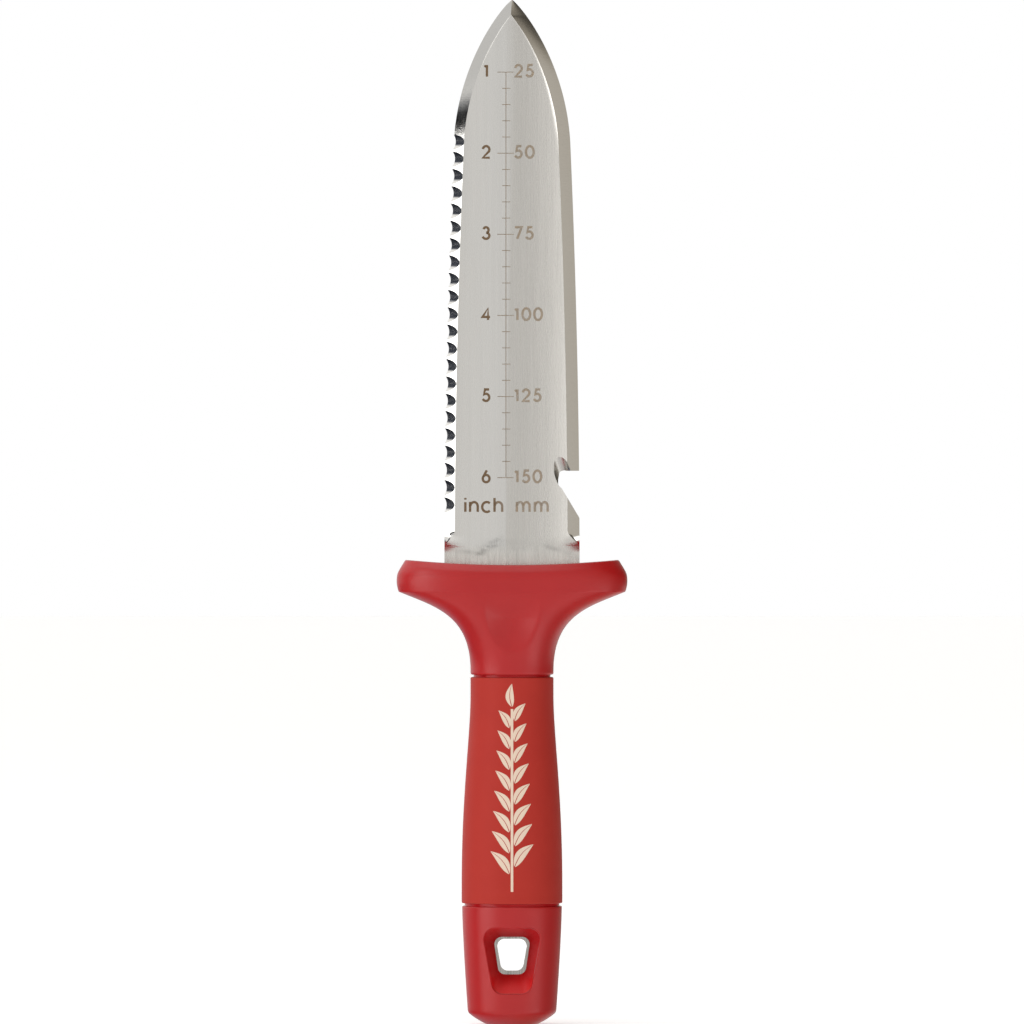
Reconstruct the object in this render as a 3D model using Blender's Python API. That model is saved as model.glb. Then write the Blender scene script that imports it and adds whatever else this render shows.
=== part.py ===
"""Hand trowel with a dished, saw-edged blade and a moulded handle.

The tool stands upright. +Z runs from the butt to the point, the hollow ground face looks along -Y,
the saw edge is on -X and the twine notch is on +X. The origin is the centre of the flat butt end.

It has three pieces: a steel blade with a full tang, a hard handle body moulded round the tang,
and a soft grip sleeve moulded round the handle body between two shallow grooves.
All lengths are in metres.
"""

import math

import bmesh
import bpy
from mathutils import Vector

# Overall
TOOL_LENGTH = 0.3210
FIT_GAP = 0.0003
LIP = 0.0006

# Blade sheet
SHEET = 0.0025
EDGE_LAND = 0.0003
BASE_HALF_WIDTH = 0.02115
SIDE_CURVE = 0.165
DISH_DEPTH = 0.0025
DISH_CENTRE = 0.0010
DISH_START = 0.1474
DISH_FULL = 0.1534
BEVEL_START = 0.1490
BEVEL_FULL = 0.1548
BEVEL_LEFT = 0.0032
BEVEL_RIGHT = 0.00375
POINT_START = 0.2764
POINT_HALF_WIDTH = 0.00015
POINT_PULL_START = (0.0169, 0.3000)
POINT_PULL_END = (0.0049, 0.3168)

# Saw edge
GULLETS = 22
FIRST_TOOTH = 0.2791
LAST_TOOTH = 0.1600
GULLET_RADIUS = 0.00315
GULLET_DEPTH = 0.0008
GRIND_LEAN = math.radians(52.7)

# Twine notch
NOTCH_TOP = 0.1734
NOTCH_BOTTOM = 0.1586
NOTCH_FLOOR_X = 0.0147
NOTCH_FLOOR_LENGTH = 0.0040
NOTCH_CORNER = 0.0012

# Tang
TANG_CORNER = 0.0020
TANG_FILLET = 0.0040
TANG_END = 0.0090
TANG_HALF_WIDTH = 0.0090
TANG_SHOULDER = 0.1320
LOCK_HOLE_RADIUS = 0.0033
LOCK_HOLE_HEIGHTS = (0.0480, 0.0720, 0.0960)

# Handle body
GUARD_HALF_WIDTH = 0.0362
GUARD_HALF_DEPTH = 0.0150
GUARD_TOP = 0.1439
GUARD_SADDLE = 0.0019
GUARD_UNDERSIDE = 0.1356
GUARD_CHAMFER = 0.0024
GUARD_SQUARENESS = 3.0
NECK_SQUARENESS = 2.3
NECK_HALF_WIDTH = 0.0130
NECK_HALF_DEPTH = 0.0120
NECK_END = 0.1096
FLARE_PULL_START = (0.0130, 0.1286)
FLARE_PULL_END = (0.0244, 0.1309)
BUTT_TOP = 0.0372
BUTT_HALF_WIDTH = 0.01563
BUTT_HALF_DEPTH = 0.01400
BUTT_TAPER = 0.00178
BUTT_TAPER_POWER = 1.35
BUTT_FACE_HALF_WIDTH = 0.00775
BUTT_FACE_HALF_DEPTH = 0.00650
BUTT_CORNER = 0.0039
BUTT_BULGE = 0.3
GROOVE_DEPTH = 0.00095

# Thumb scoop, one on each side of the neck
SCOOP_TOP = 0.1380
SCOOP_WIDEST = 0.1330
SCOOP_BOTTOM = 0.1165
SCOOP_HALF_WIDTH = 0.0089
SCOOP_DEPTH = 0.0028

# Grip sleeve
SLEEVE_BOTTOM = 0.0381
SLEEVE_TOP = 0.1088
SLEEVE_THICKNESS = 0.0025
SLEEVE_WAIST = 0.0130
SLEEVE_BELLY = 0.01578
SLEEVE_BELLY_DEPTH = 0.01420
SWELL_START = 0.1030
SWELL_PULL_START = 0.0910
SWELL_PULL_END = 0.0720
SWELL_END = 0.0440
ANCHOR_DEPTH = 0.0010
ANCHOR_LENGTH = 0.0060
ANCHOR_HEIGHTS = (0.0600, 0.0860)

# Hang hole: half widths at the top and bottom, then top and bottom heights
RECESS = (0.0089, 0.0064, 0.0302, 0.0099)
OPENING = (0.0057, 0.0043, 0.0275, 0.0157)
TANG_HOLE = (0.0048, 0.0036, 0.0270, 0.0169)
HOLE_CORNER = 0.0023

# Cutters and mesh density
CUT_HALF_DEPTH = 0.0080
CUT_CLEARANCE = 0.0050
RING_POINTS = 48
FACE_STRIPS = 9
ARC_STEPS = 5


def bezier(start, pull_start, pull_end, end, t):
    """Return the point at t on a cubic curve through start and end."""
    s = 1.0 - t
    return tuple(
        a * s**3 + 3 * b * s**2 * t + 3 * c * s * t**2 + d * t**3
        for a, b, c, d in zip(start, pull_start, pull_end, end)
    )


def ease(low, high, value):
    """Rise smoothly from 0 at low to 1 at high."""
    t = min(1.0, max(0.0, (value - low) / (high - low)))
    return t * t * (3.0 - 2.0 * t)


def mix(a, b, t):
    return a + (b - a) * t


def add_object(name, bm, material):
    """Make a closed mesh with its faces pointing out into a scene object."""
    bmesh.ops.recalc_face_normals(bm, faces=bm.faces[:])
    mesh = bpy.data.meshes.new(name)
    bm.to_mesh(mesh)
    bm.free()
    obj = bpy.data.objects.new(name, mesh)
    bpy.context.scene.collection.objects.link(obj)
    if material:
        mesh.materials.append(material)
        mesh.shade_smooth()
        mesh.set_sharp_from_angle(angle=math.radians(35))
    return obj


def skin(rings, loop=False):
    """Join rings of equal length with quads. The ends are capped unless the rings close on themselves."""
    bm = bmesh.new()
    rows = [[bm.verts.new(point) for point in ring] for ring in rings]
    pairs = list(zip(rows, rows[1:]))
    if loop:
        pairs.append((rows[-1], rows[0]))
    else:
        bm.faces.new(list(reversed(rows[0])))
        bm.faces.new(rows[-1])
    for low, high in pairs:
        for i in range(len(low)):
            j = (i + 1) % len(low)
            bm.faces.new((low[i], low[j], high[j], high[i]))
    return bm


def cut(target, cutter):
    """Subtract a cutter, which stays in the file as a hidden wire guide."""
    cutter.hide_render = True
    cutter.display_type = "WIRE"
    modifier = target.modifiers.new(cutter.name, "BOOLEAN")
    modifier.operation = "DIFFERENCE"
    modifier.solver = "EXACT"
    modifier.object = cutter


def make_material(name, color, roughness, metallic):
    material = bpy.data.materials.new(name)
    material.use_nodes = True
    shader = material.node_tree.nodes["Principled BSDF"]
    shader.inputs["Base Color"].default_value = (*color, 1.0)
    shader.inputs["Roughness"].default_value = roughness
    shader.inputs["Metallic"].default_value = metallic
    return material


# Blade and tang


def dish_strength(z):
    """The sheet is flat at the shoulder and dished above it."""
    return ease(DISH_START, DISH_FULL, z)


def sheet_centre(x, z):
    """Y of the middle of the sheet: the hollow side faces -Y, so the sheet's edges stand forward."""
    return dish_strength(z) * (DISH_CENTRE - DISH_DEPTH * (x / BASE_HALF_WIDTH) ** 2)


def side_half_width(z):
    return BASE_HALF_WIDTH - SIDE_CURVE * (z - GUARD_TOP) ** 2


def point_station(t):
    """Half width, height and lean of the outline between the parallel sides and the point."""
    start = (side_half_width(POINT_START), POINT_START)
    curve = (start, POINT_PULL_START, POINT_PULL_END, (POINT_HALF_WIDTH, TOOL_LENGTH))
    step = 0.001
    here = bezier(*curve, t)
    ahead = bezier(*curve, t + step)
    behind = bezier(*curve, t - step)
    lean = math.atan2(behind[0] - ahead[0], ahead[1] - behind[1])
    return here[0], here[1], lean


def tang_stations(grow):
    """Half width and height up the tang and round its shoulder to the full blade width."""
    corner = TANG_CORNER
    fillet = TANG_FILLET
    narrow = TANG_HALF_WIDTH + grow
    wide = BASE_HALF_WIDTH + grow
    stations = []
    for i in range(ARC_STEPS):
        angle = math.pi / 2 * i / (ARC_STEPS - 1)
        x = narrow - corner + corner * math.sin(angle)
        z = TANG_END - grow + corner - corner * math.cos(angle)
        stations.append((x, z))
    for i in range(ARC_STEPS):
        angle = math.pi / 2 * i / ARC_STEPS
        x = narrow + fillet - fillet * math.cos(angle)
        z = TANG_SHOULDER - grow - fillet + fillet * math.sin(angle)
        stations.append((x, z))
    for i in range(ARC_STEPS):
        angle = math.pi / 2 * (i + 0.5) / (ARC_STEPS - 0.5)
        x = wide - corner + corner * math.sin(angle)
        z = TANG_SHOULDER - grow + corner - corner * math.cos(angle)
        stations.append((x, z))
    return stations


def flat_ring(half_width, z, half_thickness):
    """Ring of the unbevelled sheet, with as many points as a bevelled one."""
    xs = [mix(-half_width, half_width, i / FACE_STRIPS) for i in range(FACE_STRIPS + 1)]
    front = [(x, -half_thickness, z) for x in xs]
    back = [(x, half_thickness, z) for x in reversed(xs)]
    side = half_thickness - EDGE_LAND
    return [(-half_width, side, z)] + front + [(half_width, side, z)] + back


def ground_ring(half_width, z, lean):
    """Ring of the dished sheet, with the front face ground down to the two edges."""
    plunge = ease(BEVEL_START, BEVEL_FULL, z)
    stretch = plunge / math.cos(lean)
    most = 0.95 * half_width
    left = min(BEVEL_LEFT * stretch, most)
    right = min(BEVEL_RIGHT * stretch, most)
    ridge = min(1.0, most / (BEVEL_RIGHT / math.cos(lean)))
    thickness = mix(EDGE_LAND, SHEET, ridge)
    edge_y = sheet_centre(half_width, z) + SHEET / 2 - EDGE_LAND
    ring = [(-half_width, edge_y, z)]
    for i in range(FACE_STRIPS + 1):
        x = mix(-half_width + left, half_width - right, i / FACE_STRIPS)
        ring.append((x, sheet_centre(x, z) + SHEET / 2 - thickness, z))
    ring.append((half_width, edge_y, z))
    for i in range(FACE_STRIPS + 1):
        x = mix(half_width, -half_width, i / FACE_STRIPS)
        ring.append((x, sheet_centre(x, z) + SHEET / 2, z))
    return ring


def blade_rings():
    rings = [flat_ring(x, z, SHEET / 2) for x, z in tang_stations(0.0)]
    rings.append(flat_ring(side_half_width(GUARD_TOP), GUARD_TOP, SHEET / 2))
    plunge_steps = 8
    for i in range(plunge_steps + 1):
        z = mix(DISH_START, BEVEL_FULL, i / plunge_steps)
        rings.append(ground_ring(side_half_width(z), z, 0.0))
    side_steps = 12
    for i in range(1, side_steps):
        z = mix(BEVEL_FULL, POINT_START, i / side_steps)
        lean = math.atan(2 * SIDE_CURVE * (z - GUARD_TOP))
        rings.append(ground_ring(side_half_width(z), z, lean))
    point_steps = 14
    for i in range(point_steps + 1):
        half_width, z, lean = point_station(i / point_steps)
        rings.append(ground_ring(half_width, z, lean))
    return rings


def gullet_depth(z):
    """How far the saw grind goes in from the edge at a height: arcs with a short land between them."""
    pitch = (FIRST_TOOTH - LAST_TOOTH) / GULLETS
    offset = ((z - LAST_TOOTH) % pitch) - pitch / 2
    reach = GULLET_RADIUS**2 - offset**2
    return math.sqrt(max(reach, 0.0)) - (GULLET_RADIUS - GULLET_DEPTH)


def saw_cutter():
    """One comb-shaped solid that grinds every gullet at a lean from the front."""
    pitch = (FIRST_TOOTH - LAST_TOOTH) / GULLETS
    half_chord = math.sqrt(GULLET_RADIUS**2 - (GULLET_RADIUS - GULLET_DEPTH) ** 2)
    grind = Vector((math.sin(GRIND_LEAN), -math.cos(GRIND_LEAN), 0.0))
    forward = grind * CUT_HALF_DEPTH
    behind = -grind * SHEET
    clear = Vector((-CUT_CLEARANCE, 0.0, 0.0))
    overrun = 1.2
    arc_points = 7
    rings = []
    for gullet in range(GULLETS):
        centre = LAST_TOOTH + pitch * (gullet + 0.5)
        for i in range(arc_points):
            z = centre + half_chord * overrun * (2 * i / (arc_points - 1) - 1)
            edge = -side_half_width(z)
            y = sheet_centre(edge, z) + SHEET / 2
            inner = Vector((edge + gullet_depth(z), y, z))
            corners = (inner + behind, inner + forward, inner + forward + clear, inner + behind + clear)
            rings.append([tuple(corner) for corner in corners])
    return add_object("saw_cutter", skin(rings), None)


def notch_outline():
    """Hook-shaped notch: a level upper lip, a rounded corner and a long slope back to the edge."""
    outside = BASE_HALF_WIDTH + CUT_CLEARANCE
    floor_bottom = NOTCH_TOP - NOTCH_FLOOR_LENGTH
    slope = (floor_bottom - NOTCH_BOTTOM) / (BASE_HALF_WIDTH - NOTCH_FLOOR_X)
    points = [(outside, NOTCH_TOP)]
    for i in range(ARC_STEPS):
        angle = math.pi / 2 * i / (ARC_STEPS - 1)
        x = NOTCH_FLOOR_X + NOTCH_CORNER - NOTCH_CORNER * math.sin(angle)
        z = NOTCH_TOP - NOTCH_CORNER + NOTCH_CORNER * math.cos(angle)
        points.append((x, z))
    points.append((NOTCH_FLOOR_X, floor_bottom))
    points.append((outside, floor_bottom - slope * (outside - NOTCH_FLOOR_X)))
    return points


def notch_cutter():
    rings = [[(x, y, z) for x, z in notch_outline()] for y in (-CUT_HALF_DEPTH, CUT_HALF_DEPTH)]
    return add_object("notch_cutter", skin(rings), None)


def rounded_trapezoid(half_top, half_bottom, top, bottom, corner, y):
    """Ring in the XZ plane with its four corners rounded by arcs."""
    slope = math.atan2(half_top - half_bottom, top - bottom)
    quarters = (
        (half_top - corner, top - corner, -slope, math.pi / 2),
        (-half_top + corner, top - corner, math.pi / 2, math.pi + slope),
        (-half_bottom + corner, bottom + corner, math.pi + slope, 1.5 * math.pi),
        (half_bottom - corner, bottom + corner, 1.5 * math.pi, 2 * math.pi - slope),
    )
    ring = []
    for x, z, start, end in quarters:
        for i in range(ARC_STEPS):
            angle = mix(start, end, i / (ARC_STEPS - 1))
            ring.append((x + corner * math.cos(angle), y, z + corner * math.sin(angle)))
    return ring


def tang_hole_cutter():
    rings = [rounded_trapezoid(*TANG_HOLE, HOLE_CORNER, y) for y in (-CUT_HALF_DEPTH, CUT_HALF_DEPTH)]
    return add_object("tang_hole_cutter", skin(rings), None)


def lock_hole_cutter(name, z, radius):
    """Round bar through the tang, along Y."""
    points = 20
    angles = [2 * math.pi * (i + 0.5) / points for i in range(points)]
    rings = []
    for y in (-CUT_HALF_DEPTH, CUT_HALF_DEPTH):
        rings.append([(radius * math.cos(a), y, z + radius * math.sin(a)) for a in angles])
    return add_object(name, skin(rings), None)


def make_blade(material):
    """Blade and full tang in one sheet of stainless steel."""
    blade = add_object("blade", skin(blade_rings()), material)
    cut(blade, saw_cutter())
    cut(blade, notch_cutter())
    cut(blade, tang_hole_cutter())
    for number, z in enumerate(LOCK_HOLE_HEIGHTS, 1):
        cut(blade, lock_hole_cutter(f"lock_hole_cutter_{number}", z, LOCK_HOLE_RADIUS))


# Handle body and grip sleeve


def oval(half_width, half_depth, z, power, saddle=0.0):
    """Closed ring of a rounded, squarish oval. The saddle lifts the ring's ends in X."""
    ring = []
    for i in range(RING_POINTS):
        angle = 2 * math.pi * i / RING_POINTS
        c = math.cos(angle)
        s = math.sin(angle)
        x = half_width * math.copysign(abs(c) ** (2 / power), c)
        y = half_depth * math.copysign(abs(s) ** (2 / power), s)
        ring.append((x, y, z + saddle * (x / GUARD_HALF_WIDTH) ** 2))
    return ring


def grip_half_width(z):
    """The grip is slim behind the neck and swells towards the butt."""
    if z >= SWELL_START:
        return SLEEVE_WAIST
    if z <= SWELL_END:
        return SLEEVE_BELLY
    start = (SLEEVE_WAIST, SWELL_START)
    pull_start = (SLEEVE_WAIST, SWELL_PULL_START)
    pull_end = (SLEEVE_BELLY, SWELL_PULL_END)
    curve = (start, pull_start, pull_end, (SLEEVE_BELLY, SWELL_END))
    t_low, t_high = 0.0, 1.0
    for _ in range(30):
        t = (t_low + t_high) / 2
        if bezier(*curve, t)[1] > z:
            t_low = t
        else:
            t_high = t
    return bezier(*curve, t)[0]


def grip_half_depth(z):
    swell = (grip_half_width(z) - SLEEVE_WAIST) / (SLEEVE_BELLY - SLEEVE_WAIST)
    return mix(NECK_HALF_DEPTH, SLEEVE_BELLY_DEPTH, swell)


def butt_section(z):
    """Half width and half depth of the tapering butt."""
    taper = BUTT_TAPER * ((BUTT_TOP - z) / (BUTT_TOP - BUTT_CORNER)) ** BUTT_TAPER_POWER
    return BUTT_HALF_WIDTH - taper, BUTT_HALF_DEPTH - taper


def butt_rings():
    """Flat end, domed corner and tapering side up to the lower groove."""
    corner_width, corner_depth = butt_section(BUTT_CORNER)
    rings = []
    corner_steps = 4
    for i in range(corner_steps):
        t = i / corner_steps
        swell = t + BUTT_BULGE * t * (1 - t)
        half_width = mix(BUTT_FACE_HALF_WIDTH, corner_width, swell)
        half_depth = mix(BUTT_FACE_HALF_DEPTH, corner_depth, swell)
        rings.append(oval(half_width, half_depth, BUTT_CORNER * t, NECK_SQUARENESS))
    side_steps = 4
    for i in range(side_steps + 1):
        z = mix(BUTT_CORNER, BUTT_TOP - LIP, i / side_steps)
        rings.append(oval(*butt_section(z), z, NECK_SQUARENESS))
    half_width, half_depth = butt_section(BUTT_TOP)
    rings.append(oval(half_width - LIP, half_depth - LIP, BUTT_TOP, NECK_SQUARENESS))
    return rings


def inset_oval(z, inset):
    """Section of the grip at a height, drawn in by an inset."""
    return oval(grip_half_width(z) - inset, grip_half_depth(z) - inset, z, NECK_SQUARENESS)


def core_stations():
    """Height and extra depth up the hidden core, with a waist at each anchor."""
    bottom = SLEEVE_BOTTOM - FIT_GAP
    top = SLEEVE_TOP + FIT_GAP
    stations = [(bottom, 0.0)]
    for centre in ANCHOR_HEIGHTS:
        low = centre - ANCHOR_LENGTH / 2
        high = centre + ANCHOR_LENGTH / 2
        before = mix(stations[-1][0], low, 0.5)
        stations.append((before, 0.0))
        stations.append((low, 0.0))
        stations.append((low + ANCHOR_DEPTH, ANCHOR_DEPTH))
        stations.append((high - ANCHOR_DEPTH, ANCHOR_DEPTH))
        stations.append((high, 0.0))
    stations.append((mix(stations[-1][0], top, 0.5), 0.0))
    stations.append((top, 0.0))
    return stations


def core_rings():
    """Lower groove floor, core under the sleeve and upper groove floor."""
    bottom = SLEEVE_BOTTOM - FIT_GAP
    top = SLEEVE_TOP + FIT_GAP
    rings = [inset_oval(BUTT_TOP, GROOVE_DEPTH), inset_oval(bottom, GROOVE_DEPTH)]
    for z, extra in core_stations():
        rings.append(inset_oval(z, SLEEVE_THICKNESS + FIT_GAP + extra))
    rings.append(inset_oval(top, GROOVE_DEPTH))
    rings.append(inset_oval(NECK_END, GROOVE_DEPTH))
    return rings


def flare_rings():
    """Neck that flares up into the wings of the guard."""
    rings = [oval(NECK_HALF_WIDTH - LIP, NECK_HALF_DEPTH - LIP, NECK_END, NECK_SQUARENESS)]
    start = (NECK_HALF_WIDTH, NECK_END + LIP)
    end = (GUARD_HALF_WIDTH - LIP, GUARD_UNDERSIDE)
    curve = (start, FLARE_PULL_START, FLARE_PULL_END, end)
    steps = 14
    for i in range(steps + 1):
        half_width, z = bezier(*curve, i / steps)
        t = ease(NECK_END, GUARD_UNDERSIDE, z)
        half_depth = mix(NECK_HALF_DEPTH, GUARD_HALF_DEPTH - LIP, t)
        rings.append(oval(half_width, half_depth, z, mix(NECK_SQUARENESS, GUARD_SQUARENESS, t)))
    return rings


def guard_rings():
    """Edge band, top chamfer and saddle-shaped top of the guard."""
    band_bottom = GUARD_UNDERSIDE
    band_top = GUARD_TOP - GUARD_CHAMFER
    # Inset in width, inset in depth, height and share of the saddle
    stations = (
        (0.0000, 0.0000, mix(band_bottom, band_top, 0.40), 0.2),
        (0.0002, 0.0000, mix(band_bottom, band_top, 0.75), 0.6),
        (0.0014, 0.0003, band_top, 1.0),
        (0.0028, 0.0020, GUARD_TOP, 1.0),
        (0.0095, 0.0046, GUARD_TOP, 1.0),
        (0.0162, 0.0072, GUARD_TOP, 1.0),
    )
    rings = []
    for width_inset, depth_inset, z, share in stations:
        half_width = GUARD_HALF_WIDTH - width_inset
        half_depth = GUARD_HALF_DEPTH - depth_inset
        rings.append(oval(half_width, half_depth, z, GUARD_SQUARENESS, share * GUARD_SADDLE))
    return rings


def scoop_depth(x, z):
    """Depth of the thumb scoop: a rounded hollow with an edge at its sides and bottom, fading out upwards."""
    drop = max(0.0, (SCOOP_WIDEST - z) / (SCOOP_WIDEST - SCOOP_BOTTOM))
    hollow = max(0.0, 1.0 - (x / SCOOP_HALF_WIDTH) ** 2 - drop**2)
    fade = 1.0 - ease(mix(SCOOP_BOTTOM, SCOOP_WIDEST, 0.8), SCOOP_TOP, z)
    return SCOOP_DEPTH * hollow * fade


def press_scoop(ring):
    """Press the thumb scoops into both sides of the neck."""
    return [(x, y - math.copysign(scoop_depth(x, z), y), z) for x, y, z in ring]


def tang_pocket_cutter():
    """The tang and shoulder with clearance, run out through the top of the guard."""
    half_thickness = SHEET / 2 + FIT_GAP
    rings = [flat_ring(x, z, half_thickness) for x, z in tang_stations(FIT_GAP)]
    rings.append(flat_ring(BASE_HALF_WIDTH + FIT_GAP, GUARD_TOP + CUT_CLEARANCE, half_thickness))
    pocket = add_object("tang_pocket_cutter", skin(rings), None)
    for number, z in enumerate(LOCK_HOLE_HEIGHTS, 1):
        cut(pocket, lock_hole_cutter(f"lock_plug_cutter_{number}", z, LOCK_HOLE_RADIUS - FIT_GAP))
    return pocket


def recess_cutter(name, side):
    """Funnel from the outer face of the butt down to the tang, on one side."""
    floor_y = SHEET / 3
    mouth = BUTT_HALF_DEPTH + FIT_GAP
    floor = rounded_trapezoid(*OPENING, HOLE_CORNER, side * floor_y)
    rim = rounded_trapezoid(*RECESS, 1.5 * HOLE_CORNER, side * mouth)
    return add_object(name, skin([floor, rim]), None)


def make_handle_body(material):
    """Guard, neck, core and butt, moulded in one piece round the tang."""
    flare = [press_scoop(ring) for ring in flare_rings()]
    rings = butt_rings() + core_rings() + flare + guard_rings()
    body = add_object("handle_body", skin(rings), material)
    cut(body, tang_pocket_cutter())
    cut(body, recess_cutter("recess_cutter_front", -1))
    cut(body, recess_cutter("recess_cutter_back", 1))


def make_grip_sleeve(material):
    """Soft tube round the core, with lips at both ends and rings inside that fill the core's waists."""
    outer_steps = 16
    rings = [inset_oval(SLEEVE_BOTTOM, LIP)]
    for i in range(outer_steps + 1):
        z = mix(SLEEVE_BOTTOM + LIP, SLEEVE_TOP - LIP, i / outer_steps)
        rings.append(inset_oval(z, 0.0))
    rings.append(inset_oval(SLEEVE_TOP, LIP))
    inner = [(SLEEVE_BOTTOM, 0.0)] + core_stations()[1:-1] + [(SLEEVE_TOP, 0.0)]
    for z, extra in reversed(inner):
        rings.append(inset_oval(z, SLEEVE_THICKNESS + extra))
    add_object("grip_sleeve", skin(rings, loop=True), material)


def main():
    for obj in list(bpy.data.objects):
        bpy.data.objects.remove(obj, do_unlink=True)
    steel = make_material("stainless_steel", (0.62, 0.61, 0.58), 0.32, 1.0)
    hard = make_material("hard_red_plastic", (0.42, 0.025, 0.025), 0.38, 0.0)
    soft = make_material("soft_red_rubber", (0.48, 0.040, 0.028), 0.62, 0.0)
    make_blade(steel)
    make_handle_body(hard)
    make_grip_sleeve(soft)


main()
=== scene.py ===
"""Looks of the hand trowel: a brushed steel blade, a moulded guard and butt, and a soft printed grip.

The tool stands on its butt with the blade up. +Z runs from the butt to the point, the hollow ground face
looks along -Y, the saw edge is on -X and the twine notch is on +X. Lengths are in metres, except inside
the materials, where places are in millimetres.
"""

import math

import bmesh
import bpy
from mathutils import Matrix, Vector


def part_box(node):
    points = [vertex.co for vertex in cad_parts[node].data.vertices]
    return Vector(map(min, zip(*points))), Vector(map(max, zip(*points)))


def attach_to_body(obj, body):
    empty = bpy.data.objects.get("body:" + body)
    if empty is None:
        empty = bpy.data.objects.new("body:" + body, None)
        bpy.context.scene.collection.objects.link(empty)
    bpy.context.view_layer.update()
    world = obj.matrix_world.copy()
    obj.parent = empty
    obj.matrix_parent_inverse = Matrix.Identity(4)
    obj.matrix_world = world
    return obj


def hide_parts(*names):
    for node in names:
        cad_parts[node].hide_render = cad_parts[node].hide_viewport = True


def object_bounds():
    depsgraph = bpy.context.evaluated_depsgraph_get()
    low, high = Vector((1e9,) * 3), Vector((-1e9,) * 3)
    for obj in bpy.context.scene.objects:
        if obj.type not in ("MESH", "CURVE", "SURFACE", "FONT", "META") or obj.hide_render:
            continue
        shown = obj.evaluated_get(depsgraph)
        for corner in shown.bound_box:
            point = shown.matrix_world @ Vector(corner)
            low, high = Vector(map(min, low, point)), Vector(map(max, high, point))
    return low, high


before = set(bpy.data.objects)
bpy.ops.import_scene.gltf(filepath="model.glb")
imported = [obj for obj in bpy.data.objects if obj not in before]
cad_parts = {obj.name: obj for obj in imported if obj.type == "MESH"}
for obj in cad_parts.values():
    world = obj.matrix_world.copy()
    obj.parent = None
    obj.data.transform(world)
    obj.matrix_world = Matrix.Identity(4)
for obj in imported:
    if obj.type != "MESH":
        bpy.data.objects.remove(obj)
CAD_LOW, CAD_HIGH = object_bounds()
BLADE_LOW, BLADE_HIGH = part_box("blade")
_, BODY_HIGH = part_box("handle_body")
SLEEVE_LOW, SLEEVE_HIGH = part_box("grip_sleeve")
MM = 0.001


def mm(*lengths):
    """Several lengths in millimetres, turned into metres."""
    return tuple(length * MM for length in lengths)


# Blade
TOOL_LENGTH = CAD_HIGH.z
BASE_HALF_WIDTH = BLADE_HIGH.x
SHEET = 2.5 * MM
EDGE_LAND = 0.3 * MM
SIDE_CURVE = 0.165
DISH_DEPTH = 2.5 * MM
DISH_CENTRE = 1.0 * MM
DISH_START = 147.4 * MM
DISH_FULL = 153.4 * MM
BEVEL_START = 149.0 * MM
BEVEL_FULL = 154.8 * MM
BEVEL_LEFT = 3.2 * MM
BEVEL_RIGHT = 3.75 * MM
BEVEL_CROWN = 0.04 * MM
BEVEL_STRIPS = 4
BURR_HEIGHT = 0.09 * MM
BURR_WIDTH = 0.26 * MM
BURR_LEFT_RISE = mm(294.0, 303.0)
BURR_RIGHT_RISE = mm(270.0, 290.0)
POINT_START = 276.4 * MM
POINT_HALF_WIDTH = 0.15 * MM
POINT_PULL_START = mm(16.9, 300.0)
POINT_PULL_END = mm(4.9, 316.8)

# Saw edge
GULLETS = 22
FIRST_TOOTH = 279.1 * MM
LAST_TOOTH = 160.0 * MM
TOOTH_PITCH = (FIRST_TOOTH - LAST_TOOTH) / GULLETS
GULLET_RADIUS = 3.15 * MM
GULLET_DEPTH = 0.8 * MM
GRIND_LEAN = math.radians(52.7)

# Twine notch and the hollow ground behind its hook
NOTCH_TOP = 173.4 * MM
NOTCH_BOTTOM = 158.6 * MM
NOTCH_FLOOR_X = 14.7 * MM
NOTCH_FLOOR_LENGTH = 4.0 * MM
NOTCH_CORNER = 1.2 * MM
HOOK_GRIND_RADIUS = 2.6 * MM
HOOK_GRIND_FRONT = mm(15.85, 172.6)
HOOK_GRIND_BACK = mm(17.20, 168.4)

# Tang
TANG_CORNER = 2.0 * MM
TANG_FILLET = 4.0 * MM
TANG_END = BLADE_LOW.z
TANG_HALF_WIDTH = 9.0 * MM
TANG_SHOULDER = 132.0 * MM
LOCK_HOLE_RADIUS = 3.3 * MM
LOCK_HOLE_HEIGHTS = mm(48.0, 72.0, 96.0)

# Guard and neck
GUARD_HALF_WIDTH = BODY_HIGH.x
GUARD_HALF_DEPTH = BODY_HIGH.y
GUARD_SADDLE = 1.9 * MM
GUARD_TOP = 143.9 * MM
GUARD_UNDERSIDE = 135.6 * MM
GUARD_CHAMFER = 2.4 * MM
GUARD_SQUARENESS = 3.0
GUARD_SLOT = mm(18.0, 0.4)
GUARD_EDGE_ROUNDING = 0.7 * MM
WING_INSET = 0.6 * MM
NECK_SQUARENESS = 2.3
NECK_HALF_WIDTH = 13.0 * MM
NECK_HALF_DEPTH = 12.0 * MM
NECK_END = 109.6 * MM
FLARE_START = 110.6 * MM
FLARE_PULL_START = mm(13.0, 128.6)
FLARE_PULL_END = mm(24.4, 130.9)

# Butt and grooves
BUTT_TOP = 37.2 * MM
BUTT_HALF_WIDTH = 15.63 * MM
BUTT_HALF_DEPTH = 14.0 * MM
BUTT_TAPER = 1.78 * MM
BUTT_TAPER_POWER = 1.35
BUTT_FACE = mm(7.75, 6.5)
BUTT_CORNER = 3.9 * MM
BUTT_BULGE = 0.3
BUTT_ROUNDING = 1.0 * MM
BUTT_FACE_ROUNDING = 0.8 * MM
GROOVE_DEPTH = 0.95 * MM
GROOVE_ROUNDING = 0.15 * MM

# Thumb scoop
SCOOP_TOP = 135.5 * MM
SCOOP_WIDEST = 133.0 * MM
SCOOP_BOTTOM = 116.5 * MM
SCOOP_HALF_WIDTH = 8.9 * MM
SCOOP_DEPTH = 2.8 * MM
SCOOP_EDGE = 0.05
SCOOP_FADE = 0.62

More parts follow.
